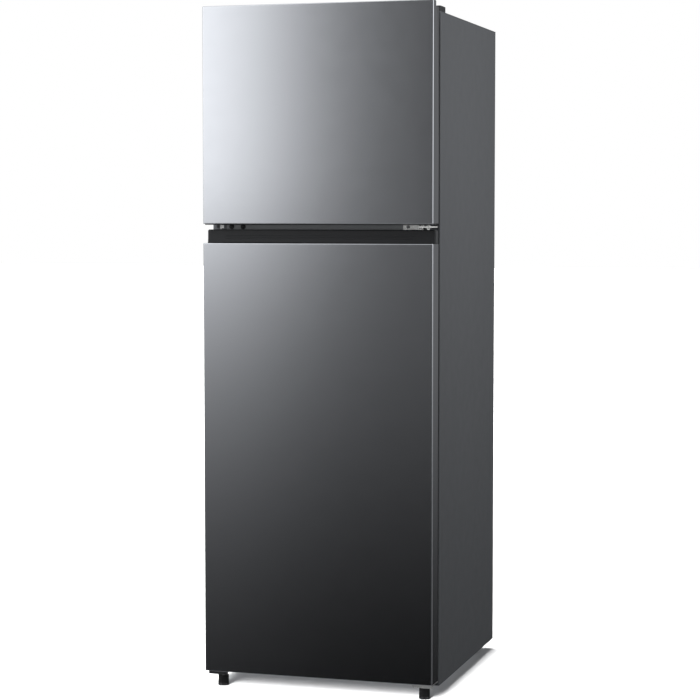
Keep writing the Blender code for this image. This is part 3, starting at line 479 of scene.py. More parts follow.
def add_screw(bm, place, facing, radius, height):
    """A pan head screw with a cross recess, standing on a surface at place and pointing along facing."""
    turn = Vector(facing).to_track_quat("Z", "Y").to_matrix().to_4x4()
    known = set(bm.verts)
    disc = bmesh.ops.create_circle(bm, cap_ends=True, segments=20, radius=radius)["verts"]
    top = bmesh.ops.extrude_face_region(bm, geom=list(disc[0].link_faces))["geom"]
    top_verts = [g for g in top if isinstance(g, bmesh.types.BMVert)]
    bmesh.ops.translate(bm, verts=top_verts, vec=(0, 0, height))
    top_face = [g for g in top if isinstance(g, bmesh.types.BMFace)][0]
    round_edges(bm, list(top_face.edges), height * 0.62, 4)
    added = [v for v in bm.verts if v not in known]
    # Two short bars sunk level with the crown stand for the driver's recess.
    for angle in (0.0, math.pi / 2):
        bar = Matrix.Translation((0, 0, height)) @ Matrix.Rotation(angle, 4, "Z")
        added += turned_block(bm, (radius * 1.05, radius * 0.20, height * 0.10), bar)
    bmesh.ops.transform(bm, verts=added, matrix=Matrix.Translation(place) @ turn)


# The lighter colour on the screws' corners is partly wear and partly a painted edge highlight.
screw_steel = plated("screw_steel", (0.33, 0.33, 0.34), 0.35, 400.0, worn=(0.6, 0.6, 0.6))
rear_screws = bmesh.new()
for columns, rows in (((-0.272, 0.272), (0.300, 0.640, 0.980, 1.320, 1.660)),
                      ((-0.268, -0.090, 0.090, 0.268), (0.045, 0.263))):
    for column in columns:
        for row in rows:
            add_screw(rear_screws, (column, high.y - 0.0018, row), (0, 1, 0), 0.0035, 0.0017)
finish_piece(rear_screws, "rear_screws", "cabinet", screw_steel)


# Machine cover: the removable vented sheet over the compressor. Each slot has a
# rolled lip, and the cord leaves through a stepped grommet at the left.
def sweep_frame(bm, profile, half_x, half_y, radius, matrix, steps=4):
    """Sweeps a closed profile of (outward, up) points round a rounded rectangle."""
    known = set(bm.verts)
    start = [bm.verts.new((half_x + out, -half_y + radius, up)) for out, up in profile]
    ring = [bm.edges.new(pair) for pair in zip(start, start[1:] + start[:1])]
    for turn in range(4):
        direction = ((0, 1, 0), (-1, 0, 0), (0, -1, 0), (1, 0, 0))[turn]
        run = 2 * (half_x if turn % 2 else half_y) - 2 * radius
        side_x, side_y = ((1, 1), (-1, 1), (-1, -1), (1, -1))[turn]
        grown = bmesh.ops.extrude_edge_only(bm, edges=ring)["geom"]
        moved = [g for g in grown if isinstance(g, bmesh.types.BMVert)]
        ring = [g for g in grown if isinstance(g, bmesh.types.BMEdge)
                and all(v in set(moved) for v in g.verts)]
        bmesh.ops.translate(bm, verts=moved, vec=Vector(direction) * run)
        spun = bmesh.ops.spin(bm, geom=moved + ring,
                              cent=(side_x * (half_x - radius), side_y * (half_y - radius), 0),
                              axis=(0, 0, 1), angle=math.pi / 2, steps=steps, use_merge=False)["geom_last"]
        ring = [g for g in spun if isinstance(g, bmesh.types.BMEdge)]
    made = [v for v in bm.verts if v not in known]
    bmesh.ops.remove_doubles(bm, verts=made, dist=2e-6)
    bmesh.ops.transform(bm, verts=[v for v in bm.verts if v not in known], matrix=matrix)


def add_round(bm, place, radius, depth, sides=32, top=None, turn=None):
    """A short cylinder, or a cone if its top differs, about place. It stands up unless it is turned."""
    matrix = Matrix.Translation(place) @ turn if turn else Matrix.Translation(place)
    return bmesh.ops.create_cone(bm, cap_ends=True, segments=sides, radius1=radius,
                                 radius2=radius if top is None else top, depth=depth, matrix=matrix)["verts"]


dress(galvanised, "machine_cover")
lips = bmesh.new()
lip_section = [(-0.0003, 0.0004), (-0.0003, -0.0003), (0.0006, -0.0004), (0.0016, 0.0001)]
for column in range(11):
    for low_z, high_z in ((0.080, 0.140), (0.165, 0.225)):
        middle = Matrix.Translation((-0.200 + 0.040 * column, 0.3396, (low_z + high_z) / 2))
        sweep_frame(lips, lip_section, 0.004, (high_z - low_z) / 2, 0.0039, middle @ standing, 3)
finish_piece(lips, "vent_lips", "cabinet", galvanised)

black_plastic = grained("black_plastic", (0.0125, 0.0128, 0.0135), 0.42, drift=0.05, grain_scale=2200.0,
                        depth=0.00004)
dress(black_plastic, "cord_gland")
grommet = bmesh.new()
for radius, near, far in ((0.0118, 0.3385, 0.3399), (0.0085, 0.3385, 0.33995)):
    add_round(grommet, (-0.245, (near + far) / 2, 0.060), radius, far - near, 40, radius * 0.97, standing)
finish_piece(grommet, "cord_grommet", "cabinet", black_plastic)


# Machine bay: a zinc tray between the rear rollers carries the compressor on rubber.
# The drain pan above it is black plastic, and the pipes and drier are bare copper.
# The compressor's lighter corner colour is partly wear and partly a painted edge highlight.
compressor_paint = grained("compressor_paint", (0.012, 0.012, 0.013), 0.28, drift=0.05, smudges=0.10,
                           grain_scale=500.0, depth=0.0001, worn=(0.16, 0.15, 0.14), wear_width=0.0015,
                           Coat_Weight=0.3)
dress(compressor_paint, "compressor")
tray_zinc = plated("tray_zinc", (0.50, 0.51, 0.52), 0.45, 130.0)
dress(tray_zinc, "compressor_tray", "base_pan")
dress(black_plastic, "drain_pan")
copper = plated("copper_pipe", (0.70, 0.36, 0.23), 0.30, 30.0)
dress(copper, "discharge_pipe", "filter_drier")
weld_rings = bmesh.new()
for height_z, radius in ((0.176, 0.0112), (0.112, 0.0112), (0.144, 0.0115)):
    add_round(weld_rings, (-0.075, 0.230, height_z), radius, 0.0024, 28)
finish_piece(weld_rings, "drier_rings", "cabinet", copper)


# Rear rollers: hard nylon wheels with a chamfered tread, each turning on a steel pin
# that is riveted through the tray's ears.
def turn_outline(bm, outline, centre, axis, steps, closed=False):
    """Turns a line of points, or a closed ring of them, all the way round an axis."""
    line = [bm.verts.new(point) for point in outline]
    loop = [bm.edges.new(pair) for pair in zip(line, line[1:] + line[:1] if closed else line[1:])]
    bmesh.ops.spin(bm, geom=line + loop, cent=centre, axis=axis, angle=2 * math.pi, steps=steps,
                   use_merge=True)


# The rollers' lighter corner colour is partly wear and partly a painted edge highlight.
nylon = grained("roller_nylon", (0.035, 0.036, 0.038), 0.5, drift=0.08, smudges=0.08, grain_scale=800.0,
                depth=0.0001, worn=(0.12, 0.12, 0.12))
for side in ("left", "right"):
    low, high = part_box("rear_roller_" + side)
    wheel = bmesh.new()
    half = (high.x - low.x) / 2
    outline = [(0.0042, half), (0.0060, half), (0.0068, half - 0.0018), (0.0098, half - 0.0018),
               (0.0106, half), (0.0123, half), (0.0135, half - 0.0014), (0.0135, 0.0014), (0.0131, 0.0008),
               (0.0131, 0.0)]
    outline += [(r, -z) for r, z in reversed(outline[:-1])]
    turn_outline(wheel, [(r, 0, z) for r, z in outline], (0, 0, 0), (0, 0, 1), 48, closed=True)
    bmesh.ops.transform(wheel, verts=wheel.verts,
                        matrix=Matrix.Translation((low + high) / 2) @ Matrix.Rotation(math.pi / 2, 4, "Y"))
    finish_piece(wheel, "roller_wheel_" + side, "rear_roller_" + side, nylon,
                 ("rear_roller_" + side,))


# Mullion: the painted strip across the case between the two compartments. Two plugs at
# the left close the screw holes that are used when the doors are hung the other way.
mullion_paint = grained("mullion_paint", (0.205, 0.212, 0.220), 0.42, drift=0.03, grain_scale=1500.0,
                        depth=0.00004)
dress(mullion_paint, "centre_mullion")
plug_plastic_and_hole_shade = grained("plug_plastic_and_hole_shade", (0.016, 0.016, 0.017), 0.38, drift=0.05, grain_scale=2200.0)
for side in ("left", "right"):
    low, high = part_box("mullion_plug_" + side)
    middle = (low + high) / 2
    plug = bmesh.new()
    radius = (high.x - low.x) / 2
    outline = [(0.0, 0.0), (0.42, 0.0002), (0.55, 0.0008), (0.70, 0.0008), (0.80, 0.0003), (0.94, 0.0009),
               (1.0, 0.0020), (1.0, 0.0029)]
    turn_outline(plug, [(middle.x + radius * part, low.y + sunk, middle.z) for part, sunk in outline],
                 (middle.x, 0, middle.z), (0, 1, 0), 40)
    finish_piece(plug, "hole_plug_" + side, "cabinet", plug_plastic_and_hole_shade,
                 ("mullion_plug_" + side,))
# At the left end a round hole and a bright clip nut wait for the hinge of a left-hung door. The hole is a
# thin black disc on the strip, its black a painted shade inside the hole.
spare_hole_shade = bmesh.new()
add_round(spare_hole_shade, (-0.2860, -0.2682, 1.1800), 0.0042, 0.0006, 32, turn=standing)
finish_piece(spare_hole_shade, "spare_hinge_hole_shade", "cabinet", plug_plastic_and_hole_shade)
clip_zinc = plated("clip_zinc", (0.86, 0.86, 0.85), 0.45, 400.0, 0.35)
clip_nut = bmesh.new()
rounded_block(clip_nut, (-0.2796, -0.2694, 1.1738), (-0.2760, -0.2681, 1.1862), 0.0004, 2)
rounded_block(clip_nut, (-0.2760, -0.2688, 1.1760), (-0.2700, -0.2681, 1.1840), 0.0002, 2)
finish_piece(clip_nut, "spare_clip_nut", "cabinet", clip_zinc)


# Middle hinge: a 3 mm steel plate, nickel plated, with its flange screwed to the
# mullion by two dark screws. One pin goes up into the freezer door, one down.
def add_rod(bm, low, high, radius, sides=32, chamfer=0.0005):
    """An upright pin between two points, with both ends chamfered."""
    middle = [(a + b) / 2 for a, b in zip(low, high)]
    rod = add_round(bm, middle, radius, high[2] - low[2], sides)
    round_edges(bm, edges_of(rod, across(2)), chamfer, 2)


hinge_nickel = plated("hinge_nickel", (0.94, 0.94, 0.92), 0.42, 300.0, 0.1)
dress(hinge_nickel, "middle_hinge")
middle_plate = bmesh.new()
flange_front, flange_rear, pin_x, pin_y = -0.2709, -0.2684, 0.278, -0.300
rounded_block(middle_plate, (0.2050, flange_front, 1.1682), (0.2583, flange_rear, 1.1978), 0.0030, 5,
              along(1))
round_edges(middle_plate, edges_of(middle_plate.verts, lambda a, b: max(a.y, b.y) < flange_front + 0.0001),
            0.0004, 2)
rounded_block(middle_plate, (0.2550, -0.3212, 1.1786), (0.2929, -0.2690, 1.1814), 0.0110, 8,
              lambda a, b: along(2)(a, b) and a.y < pin_y)
rounded_block(middle_plate, (0.2550, -0.2760, 1.1722), (0.2572, -0.2690, 1.1800), 0.0006, 2)
for foot_z, top_z, radius in ((1.1612, 1.1984, 0.0034), (1.1812, 1.1832, 0.0062), (1.1768, 1.1788, 0.0062)):
    add_rod(middle_plate, (pin_x, pin_y, foot_z), (pin_x, pin_y, top_z), radius)
finish_piece(middle_plate, "middle_hinge_plate", "cabinet", hinge_nickel, ("middle_hinge",))
for side in ("left", "right"):
    low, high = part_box("middle_hinge_screw_" + side)
    middle = (low + high) / 2
    screw = bmesh.new()
    add_screw(screw, (middle.x, flange_front, middle.z), (0, -1, 0), 0.0042, 0.0023)
    finish_piece(screw, "hinge_screw_" + side, "cabinet", screw_steel,
                 ("middle_hinge_screw_" + side,))


# Top hinge: a zinc plated bracket screwed to the roof, under a black snap-on cover. The
# cover's narrow tongue runs forward over the freezer door's notch to the pin.
dress(plated("top_hinge_zinc", (0.55, 0.56, 0.57), 0.35, 200.0), "top_hinge")
hinge_cover_plastic = grained("hinge_cover_plastic", (0.020, 0.0205, 0.0215), 0.45, drift=0.05,
                              grain_scale=2200.0)
cover = bmesh.new()
crown_z = 1.7244
rounded_block(cover, (0.2501, -0.2642, 1.7104), (0.2984, -0.2136, crown_z), 0.0045, 5, along(2))
rounded_block(cover, (0.2561, -0.3099, 1.7191), (0.2849, -0.2620, crown_z), 0.0080, 6,
              lambda a, b: along(2)(a, b) and a.y < -0.3)
crown = [e for e in cover.edges if all(abs(v.co.z - crown_z) < 1e-6 for v in e.verts)]
round_edges(cover, crown, 0.0014, 3)
# A shallow ejector mark and three grip lines are moulded into the top.
add_round(cover, (0.2742, -0.2390, crown_z - 0.0003), 0.0050, 0.0006, 28, 0.0048)
for line_y in (-0.2200, -0.2235, -0.2270):
    rounded_block(cover, (0.2580, line_y - 0.0006, 1.7238), (0.2905, line_y + 0.0006, 1.72449), 0.0003, 2)
finish_piece(cover, "hinge_cover_shell", "cabinet", hinge_cover_plastic,
             ("top_hinge_cover",), 45.0)


# Bottom brackets: the right one carries the fridge door's lower pin, and the left one is its twin without a
# pin.
# Both are pressed steel, the right one plated and the left one painted black, and each holds a levelling
# foot.
# Both bracket finishes take a lighter colour on their corners, partly wear and partly a painted edge
# highlight.
bracket_paint = grained("bracket_paint", (0.018, 0.018, 0.019), 0.45, drift=0.06, worn=(0.16, 0.16, 0.16),
                        wear_width=0.0006)
bottom_nickel = plated("bottom_hinge_nickel", (0.50, 0.50, 0.49), 0.38, 300.0, 0.5, worn=(0.85, 0.85, 0.84))
dress(bottom_nickel, "bottom_hinge")
dress(bracket_paint, "left_foot_bracket")
foot_x, foot_y = 0.268, -0.290
for side, sign in (("left", -1), ("right", 1)):
    screws = bmesh.new()
    for column in (0.218, 0.246):
        add_screw(screws, (sign * column, flange_front, 0.0497), (0, -1, 0), 0.0040, 0.0020)
    finish_piece(screws, "bracket_screws_" + side, "cabinet", screw_steel)
    # A nut locks the foot's stud against the plate.
    lock_nut = bmesh.new()
    nut = add_round(lock_nut, (sign * foot_x, foot_y, 0.0433), 0.0066, 0.0044, 6)
    round_edges(lock_nut, edges_of(nut, across(2)), 0.0006, 2)
    collar = add_round(lock_nut, (sign * foot_x, foot_y, 0.0465), 0.0040, 0.0030, 32, 0.0036)
    round_edges(lock_nut, edges_of(collar, across(2)), 0.0005, 2)
    finish_piece(lock_nut, "foot_lock_nut_" + side, "cabinet", hinge_nickel)


# Levelling feet: ribbed black rubbery plastic pads, moulded round a threaded steel stud.
# Each turns up or down by hand under the front corner of the cabinet.
foot_rubber = grained("foot_rubber", (0.020, 0.020, 0.021), 0.24, drift=0.08, smudges=0.08,
                      grain_scale=1200.0, depth=0.00008)
for side, sign in (("left", -1), ("right", 1)):
    foot = bmesh.new()
    outline = [(0.0, 0.0004), (0.0100, 0.0004), (0.0112, 0.0), (0.0131, 0.0), (0.0139, 0.0008),
               (0.0139, 0.0044), (0.0131, 0.0054), (0.0122, 0.0058), (0.0122, 0.0230), (0.0131, 0.0234),
               (0.0137, 0.0242), (0.0137, 0.0262), (0.0129, 0.0271), (0.0052, 0.0272), (0.0048, 0.0274),
               (0.0, 0.0274)]
    turn_outline(foot, [(r, 0, z) for r, z in outline], (0, 0, 0), (0, 0, 1), 60)
    for rib in range(20):
        # Each rib is made on the near side, and then the whole foot is turned on by one rib.
        rounded_block(foot, (0.0118, -0.0011, 0.0050), (0.0136, 0.0011, 0.0240), 0.0006, 2,
                      lambda a, b: along(2)(a, b) and a.x > 0.013)
        bmesh.ops.rotate(foot, verts=foot.verts[:], cent=(0, 0, 0),
                         matrix=Matrix.Rotation(math.pi / 10, 3, "Z"))
    bmesh.ops.transform(foot, verts=foot.verts, matrix=Matrix.Translation((sign * foot_x, foot_y, 0.0)))
    body = "front_foot_" + side
    finish_piece(foot, "foot_pad_" + side, body, foot_rubber, (body,))
    stud = bmesh.new()
    add_rod(stud, (sign * foot_x, foot_y, 0.0270), (sign * foot_x, foot_y, 0.0381), 0.0036, 28, 0.0004)
    for thread in range(8):
        add_round(stud, (sign * foot_x, foot_y, 0.0284 + 0.00125 * thread), 0.0042, 0.0009, 28, 0.0037)
    finish_piece(stud, "foot_stud_" + side, body, hinge_nickel)


# Compartment liners: white plastic sheet, vacuum formed, with soft corners and a
# slightly uneven gloss. Their front lips snap into the folds of the case.
liner_gloss = grained("liner_gloss", (0.74, 0.75, 0.76), 0.24, drift=0.02, smudges=0.06, grain_scale=240.0,
                      depth=0.00008)
dress(liner_gloss, "freezer_liner", "fridge_liner")


# Freezer back: the evaporator cover is a white moulding with a round fan grille, low
# return slots and two screw covers. Behind it sit the finned coil, the fan and its motor.
white_trim = grained("white_trim", (0.74, 0.75, 0.76), 0.36, drift=0.02, grain_scale=1400.0, depth=0.00004)
dress(white_trim, "evaporator_cover")
grille = bmesh.new()
fan_middle = Vector((0.0, 0.0, 1.560))
ring_front, ring_rear, ring_half = 0.2128, 0.2155, 0.0014
for radius in (0.0500, 0.0385, 0.0265):
    inner, outer = radius - ring_half, radius + ring_half
    section = [(inner, ring_front), (outer, ring_front), (outer, ring_rear), (inner, ring_rear)]
    turn_outline(grille, [(r, y, fan_middle.z) for r, y in section], fan_middle, (0, 1, 0), 72, closed=True)
hub = add_round(grille, (0, 0.2141, fan_middle.z), 0.0130, 0.0032, 40, 0.0150, standing)
round_edges(grille, edges_of(hub, across(1)), 0.0009, 3)
for sign in (-1, 1):
    cap = add_round(grille, (sign * 0.215, 0.2142, 1.590), 0.0085, 0.0024, 32, 0.0095, standing)
    round_edges(grille, edges_of(cap, across(1)), 0.0008, 3)
for line_z in (1.330, 1.350, 1.370, 1.390):
    rounded_block(grille, (-0.200, 0.2138, line_z - 0.0016), (0.200, 0.2154, line_z + 0.0016), 0.0007, 2)
finish_piece(grille, "fan_grille_rings", "cabinet", white_trim)
aluminium = plated("fin_aluminium", (0.72, 0.73, 0.74), 0.36, 260.0)
dress(aluminium, "evaporator")
fan_plastic = grained("fan_plastic", (0.09, 0.095, 0.10), 0.40, drift=0.05)
dress(fan_plastic, "evaporator_fan", "fan_motor")


# Fridge compartment top and back: the control housing with its dial and lamp, and the
# air duct, whose vents open through louvred frames.
def clear(name, colour, roughness, index):
    """A clear moulding, slightly wavy, with this index of refraction."""
    return grained(name, colour, roughness, drift=0.01, smudges=0.03, grain_scale=120.0, bump=0.2,
                   Transmission_Weight=0.85, IOR=index)


grey_plastic = grained("grey_plastic", (0.30, 0.31, 0.33), 0.42, drift=0.03, grain_scale=1400.0)
dress(white_trim, "control_housing", "air_duct")
housing_trim = bmesh.new()
rounded_block(housing_trim, (-0.112, -0.1912, 1.0960), (0.030, -0.1898, 1.1240), 0.0005, 2)
dial_x, dial_z, mark_reach = 0.070, 1.1135, 0.0190
for tick in range(10):
    # The marks round the dial run from warm to cold. Those that would leave the housing are left out.
    turn = math.radians(-135 + 30 * tick)
    centre = Vector((dial_x + mark_reach * math.sin(turn), -0.1902, dial_z + mark_reach * math.cos(turn)))
    if 1.0975 <= centre.z <= 1.1318:
        turned_block(housing_trim, (0.0010, 0.0006, 0.0030),
                     Matrix.Translation(centre) @ Matrix.Rotation(turn, 4, "Y"))
finish_piece(housing_trim, "housing_front_trim", "cabinet", grey_plastic)
dial = bmesh.new()
dial_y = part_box("temperature_dial")[0].y
housing_front = -0.1905
outline = [(0.0, dial_y), (0.0100, dial_y), (0.0118, dial_y + 0.0008), (0.0124, dial_y + 0.0020),
           (0.0132, dial_y + 0.0150), (0.0156, dial_y + 0.0158), (0.0159, dial_y + 0.0166),
           (0.0159, housing_front), (0.0, housing_front)]
turn_outline(dial, [(dial_x + r, y, dial_z) for r, y in outline], (dial_x, 0, dial_z), (0, 1, 0), 64)
for rib in range(24):
    round_dial = Matrix.Translation((dial_x, 0, dial_z)) @ Matrix.Rotation(2 * math.pi * rib / 24, 4, "Y")
    turned_block(dial, (0.0011, 0.0116, 0.0014),
                 round_dial @ Matrix.Translation((0.0, dial_y + 0.0088, 0.0126)))
turned_block(dial, (0.0014, 0.0010, 0.0070), Matrix.Translation((dial_x, dial_y + 0.0002, dial_z + 0.0062)))
finish_piece(dial, "control_dial", "temperature_dial", grey_plastic, ("temperature_dial",))
lamp_cover = clear("lamp_cover_plastic", (0.95, 0.95, 0.93), 0.30, 1.46)
dress(lamp_cover, "lamp_lens")
prisms = bmesh.new()
for rib in range(18):
    x = -0.0905 + 0.0062 * rib
    rounded_block(prisms, (x - 0.0014, -0.1720, 1.0783), (x + 0.0014, -0.0680, 1.0797), 0.0006, 2)
finish_piece(prisms, "lamp_prisms", "cabinet", lamp_cover)
louvres = bmesh.new()
vent_section = [(-0.0035, 0.0), (0.0, 0.0), (0.0, 0.0016), (-0.0010, 0.0024), (-0.0035, 0.0024)]
for vent_z in (0.480, 0.740, 1.000):
    sweep_frame(louvres, vent_section, 0.060, 0.022, 0.008, Matrix.Translation((0, 0.2628, vent_z))
                @ standing, 5)
    for blade in range(5):
        z = vent_z - 0.0140 + 0.0070 * blade
        rounded_block(louvres, (-0.0572, 0.2608, z - 0.0009), (0.0572, 0.2629, z + 0.0009), 0.0004, 2)
finish_piece(louvres, "air_vent_louvres", "cabinet", white_trim)


# Shelves: tempered glass plates with a green cast at their edges, in white front and
# rear trims. They slide in on the ledges that are formed into the liner's sides.
shelf_glass = grained("shelf_glass", (0.86, 0.95, 0.92), 0.035, drift=0.006, smudges=0.02, grain_scale=30.0,
                      bump=None, Transmission_Weight=1.0, IOR=1.52)
shelves = ("freezer_shelf", "fridge_shelf_upper", "fridge_shelf_middle", "crisper_cover")
dress(shelf_glass, *shelves)
for node in shelves:
    low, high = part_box(node)
    trim = bmesh.new()
    half = high.x - 0.0008
    skirt = 0.0012 if node == "crisper_cover" else 0.0040
    rounded_block(trim, (-half, low.y - 0.0022, low.z - skirt), (half, low.y + 0.0200, high.z + 0.0014),
                  0.0022, 4, lambda a, b: along(0)(a, b) and a.y < low.y)
    round_edges(trim, edges_of(trim.verts, lambda a, b: along(0)(a, b) and a.y > low.y + 0.01), 0.0010, 2)
    rounded_block(trim, (-half, high.y - 0.0100, high.z - 0.0002), (half, high.y - 0.0004, high.z + 0.0060),
                  0.0012, 3)
    finish_piece(trim, node + "_trim", "cabinet", white_trim)


# Crisper: a clear moulded drawer with a rim that slides under the glass cover, upright
# ribs down its front and a slot for the humidity slider.
clear_plastic = clear("clear_plastic", (0.90, 0.93, 0.95), 0.08, 1.45)
dress(clear_plastic, "crisper_drawer")
low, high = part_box("crisper_drawer")
drawer_ribs = bmesh.new()
rib_foot, rib_top = low.z + 0.020, high.z - 0.055
for sign in (-1, 1):
    for rib in range(9):
        x = sign * (0.050 + 0.021 * rib)
        rounded_block(drawer_ribs, (x - 0.0016, low.y - 0.0012, rib_foot),
                      (x + 0.0016, low.y + 0.0004, rib_top), 0.0007, 2)
rounded_block(drawer_ribs, (-0.215, low.y - 0.0060, high.z - 0.0400),
              (0.215, low.y + 0.0003, high.z - 0.0300), 0.0028, 4,
              lambda a, b: along(0)(a, b) and max(a.y, b.y) < low.y)
finish_piece(drawer_ribs, "crisper_front_ribs", "crisper_drawer", clear_plastic)
dress(grey_plastic, "humidity_slider")
low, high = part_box("humidity_slider")
knob = bmesh.new()
for rib in range(4):
    x = low.x + 0.0032 + 0.0032 * rib
    rounded_block(knob, (x - 0.0006, low.y - 0.0006, low.z + 0.0012),
                  (x + 0.0006, low.y + 0.0004, high.z - 0.0012), 0.0003, 2)
finish_piece(knob, "humidity_knob_ribs", "humidity_slider", grey_plastic)


# Door skins: dark stainless-look sheet, folded round the front and both sides with a
# tight radius. Its top and bottom edges are hemmed in over the plastic end caps.
brush, given, wanted = finish_group("brushed_sheet", ("Roughness", "Float", 0.2), ("Streaks", "Float", 0.05))
stretched = add_node(brush, "ShaderNodeMapping", Vector=given["Coordinate"],
                     Scale=(3.0, 3.0, 1400.0)).outputs[0]
streak = noise(brush, stretched, 1.0, 3.0)[0]
cloud = noise(brush, given["Coordinate"], 2.2, 2.0)[0]
smear = noise(brush, given["Coordinate"], 26.0, 6.0)[0]
put_out(brush, given, wanted,
        plus(brush, around_zero(brush, streak, given["Streaks"]), around_zero(brush, cloud, 0.015)),
        plus(brush, around_zero(brush, streak, 0.02), around_zero(brush, smear, 0.012)), streak)
door_steel = finish_from(brush, "door_steel", (0.60, 0.61, 0.63), 0.115, 0.2, 0.00001, {"Streaks": 0.022},
                         Metallic=1.0)
side_fold = 0.0030
hem = 0.0022
rear_lip = 0.0150
rear_frame = 0.0055
hinge_notch = (0.250, -0.3155, 1.718)


def door_wrap(low, high, notch):
    """A box with an open back, whose corner over the hinge is cut away behind the front if it has a notch."""
    bm = bmesh.new()
    add_block(bm, low, high)
    # Only a narrow lip of the rear face is left, folded in behind the door.
    rear = [f for f in bm.faces if f.calc_center_median().y > high[1] - 1e-6]
    bmesh.ops.inset_individual(bm, faces=rear, thickness=rear_lip)
    bmesh.ops.delete(bm, geom=rear, context="FACES_ONLY")
    if notch:
        for axis in range(3):
            cut_square(bm, axis, notch)
        middles = [(f, f.calc_center_median()) for f in bm.faces]
        gone = [f for f, c in middles if all(c[i] > notch[i] for i in range(3))]
        bmesh.ops.delete(bm, geom=gone, context="FACES")
    return bm


def side_corner(edge, front):
    """Whether an edge is an upright front corner of a door."""
    if len(edge.link_faces) != 2 or not along(2)(*[v.co for v in edge.verts]):
        return False
    return edge.verts[0].co.y < front + 1e-6 and len({round(f.normal.x) for f in edge.link_faces}) == 2


def door_sheet(name, body, node, foot_hem, notch=None):
    low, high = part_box(node)
    back = high.y - rear_frame
    bm = door_wrap(low, (high.x, back, high.z), notch)
    round_edges(bm, [e for e in bm.edges if side_corner(e, low.y)], side_fold, 6)
    tilts = {e: sorted(abs(f.normal.z) for f in e.link_faces) for e in bm.edges if len(e.link_faces) == 2}
    rims = [e for e, tilt in tilts.items() if tilt[1] > 0.99 and tilt[0] < 0.01
            and e.verts[0].co.y < back - 1e-5]
    lower = [e for e in rims if e.verts[0].co.z < low.z + 1e-5]
    upper = [e for e in rims if e.verts[0].co.z > low.z + 1e-5]
    round_edges(bm, lower, foot_hem, 4)
    round_edges(bm, upper, hem, 4)
    finish_piece(bm, name, body, door_steel, (node,), 60.0, 0.0009)


door_sheet("fridge_door_sheet", "fridge_door", "fridge_door_skin", 0.0007)
door_sheet("freezer_door_sheet", "freezer_door", "freezer_door_skin", hem, hinge_notch)


# Rear edge frames: black plastic sections round the back of each door. The sheet's
# edges end in them, and the seals are pushed into them.
# The same near-black plastic colours the two painted shadow strips at the finger recess and under the freezer
# door.
edge_plastic_and_shadow_black = grained("edge_plastic_and_shadow_black", (0.0045, 0.0045, 0.0048), 0.6, drift=0.05, grain_scale=2200.0,
                       depth=0.00003, Specular_IOR_Level=0.2)


def rear_edge(name, body, node, notch=None):
    low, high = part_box(node)
    front = high.y - rear_frame - 0.0004
    bm = door_wrap((low.x + 0.0007, front, low.z + 0.0009), (high.x - 0.0007, high.y, high.z - 0.0009), notch)
    bmesh.ops.delete(bm, geom=[f for f in bm.faces if f.calc_center_median().y < front + 1e-6],
                     context="FACES")
    at_rear = [e for e in bm.edges if e.verts[0].co.y > high.y - 1e-6 and len(e.link_faces) == 2]
    outer = [e for e in at_rear if e.calc_length() > 0.02
             and any(abs(f.normal.y) < 0.5 for f in e.link_faces)]
    round_edges(bm, outer, 0.0006, 2)
    finish_piece(bm, name, body, edge_plastic_and_shadow_black, (), 60.0, 0.0006)


rear_edge("fridge_door_rear_edge", "fridge_door", "fridge_door_skin")
rear_edge("freezer_door_rear_edge", "freezer_door", "freezer_door_skin", hinge_notch)


# End caps: black plastic mouldings pushed into the ends of each folded skin. The fridge
# door's top cap stands above its skin and leans back to make the finger recess.
cap_plastic = grained("cap_plastic", (0.0045, 0.0047, 0.0052), 0.30, drift=0.05, grain_scale=2600.0,
                      depth=0.00003, Specular_IOR_Level=0.32)
dress(cap_plastic, "freezer_door_top_cap", "freezer_door_bottom_cap", "fridge_door_bottom_cap")
low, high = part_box("fridge_door_top_cap")
recess = bmesh.new()
base_z, face_foot, face_top, recess_top = 1.1376, -0.3145, -0.3095, high.z - 0.0001
rounded_block(recess, (low.x + 0.0008, low.y + 0.0003, low.z + 0.0002),
              (high.x - 0.0008, high.y - 0.0003, base_z), 0.0030, 4,
              lambda a, b: along(2)(a, b) and a.y < -0.3)
shown = add_block(recess, (low.x + 0.0002, face_foot, base_z - 0.0006),
                  (high.x - 0.0002, high.y - 0.0002, recess_top))
for vert in shown:
    if vert.co.z > 1.16 and vert.co.y < -0.3:
        vert.co.y = face_top
ends = edges_of(shown, lambda a, b: abs(a.x - b.x) < 1e-6 and abs(a.z - b.z) > 0.01 and max(a.y, b.y) < -0.3)
round_edges(recess, ends, 0.0032, 5)
crown = [e for e in recess.edges if all(abs(v.co.z - recess_top) < 1e-6 for v in e.verts)
         and len(e.link_faces) == 2]
round_edges(recess, crown, 0.0022, 4)
finish_piece(recess, "finger_recess", "fridge_door", cap_plastic, ("fridge_door_top_cap",),
             45.0)
# Thin grip lines are moulded along the back of the recess.
grip_lines = bmesh.new()
for line_z in (1.1500, 1.1540, 1.1580):
    y = face_foot + (face_top - face_foot) * (line_z - base_z) / (high.z - base_z)
    rounded_block(grip_lines, (-0.250, y - 0.0004, line_z - 0.0005), (0.250, y + 0.0004, line_z + 0.0005),
                  0.0003, 2)
finish_piece(grip_lines, "grip_lines", "fridge_door", cap_plastic)
# A thin black strip along the foot of the recess, over the sheet's top edge, is a painted shadow line in that
# joint.
painted_shadow_joint = bmesh.new()
rounded_block(painted_shadow_joint, (-0.2965, face_foot - 0.0008, 1.1384), (0.2965, face_foot + 0.0004, 1.1410),
              0.0003, 2)
finish_piece(painted_shadow_joint, "painted_shadow_joint", "fridge_door", edge_plastic_and_shadow_black)
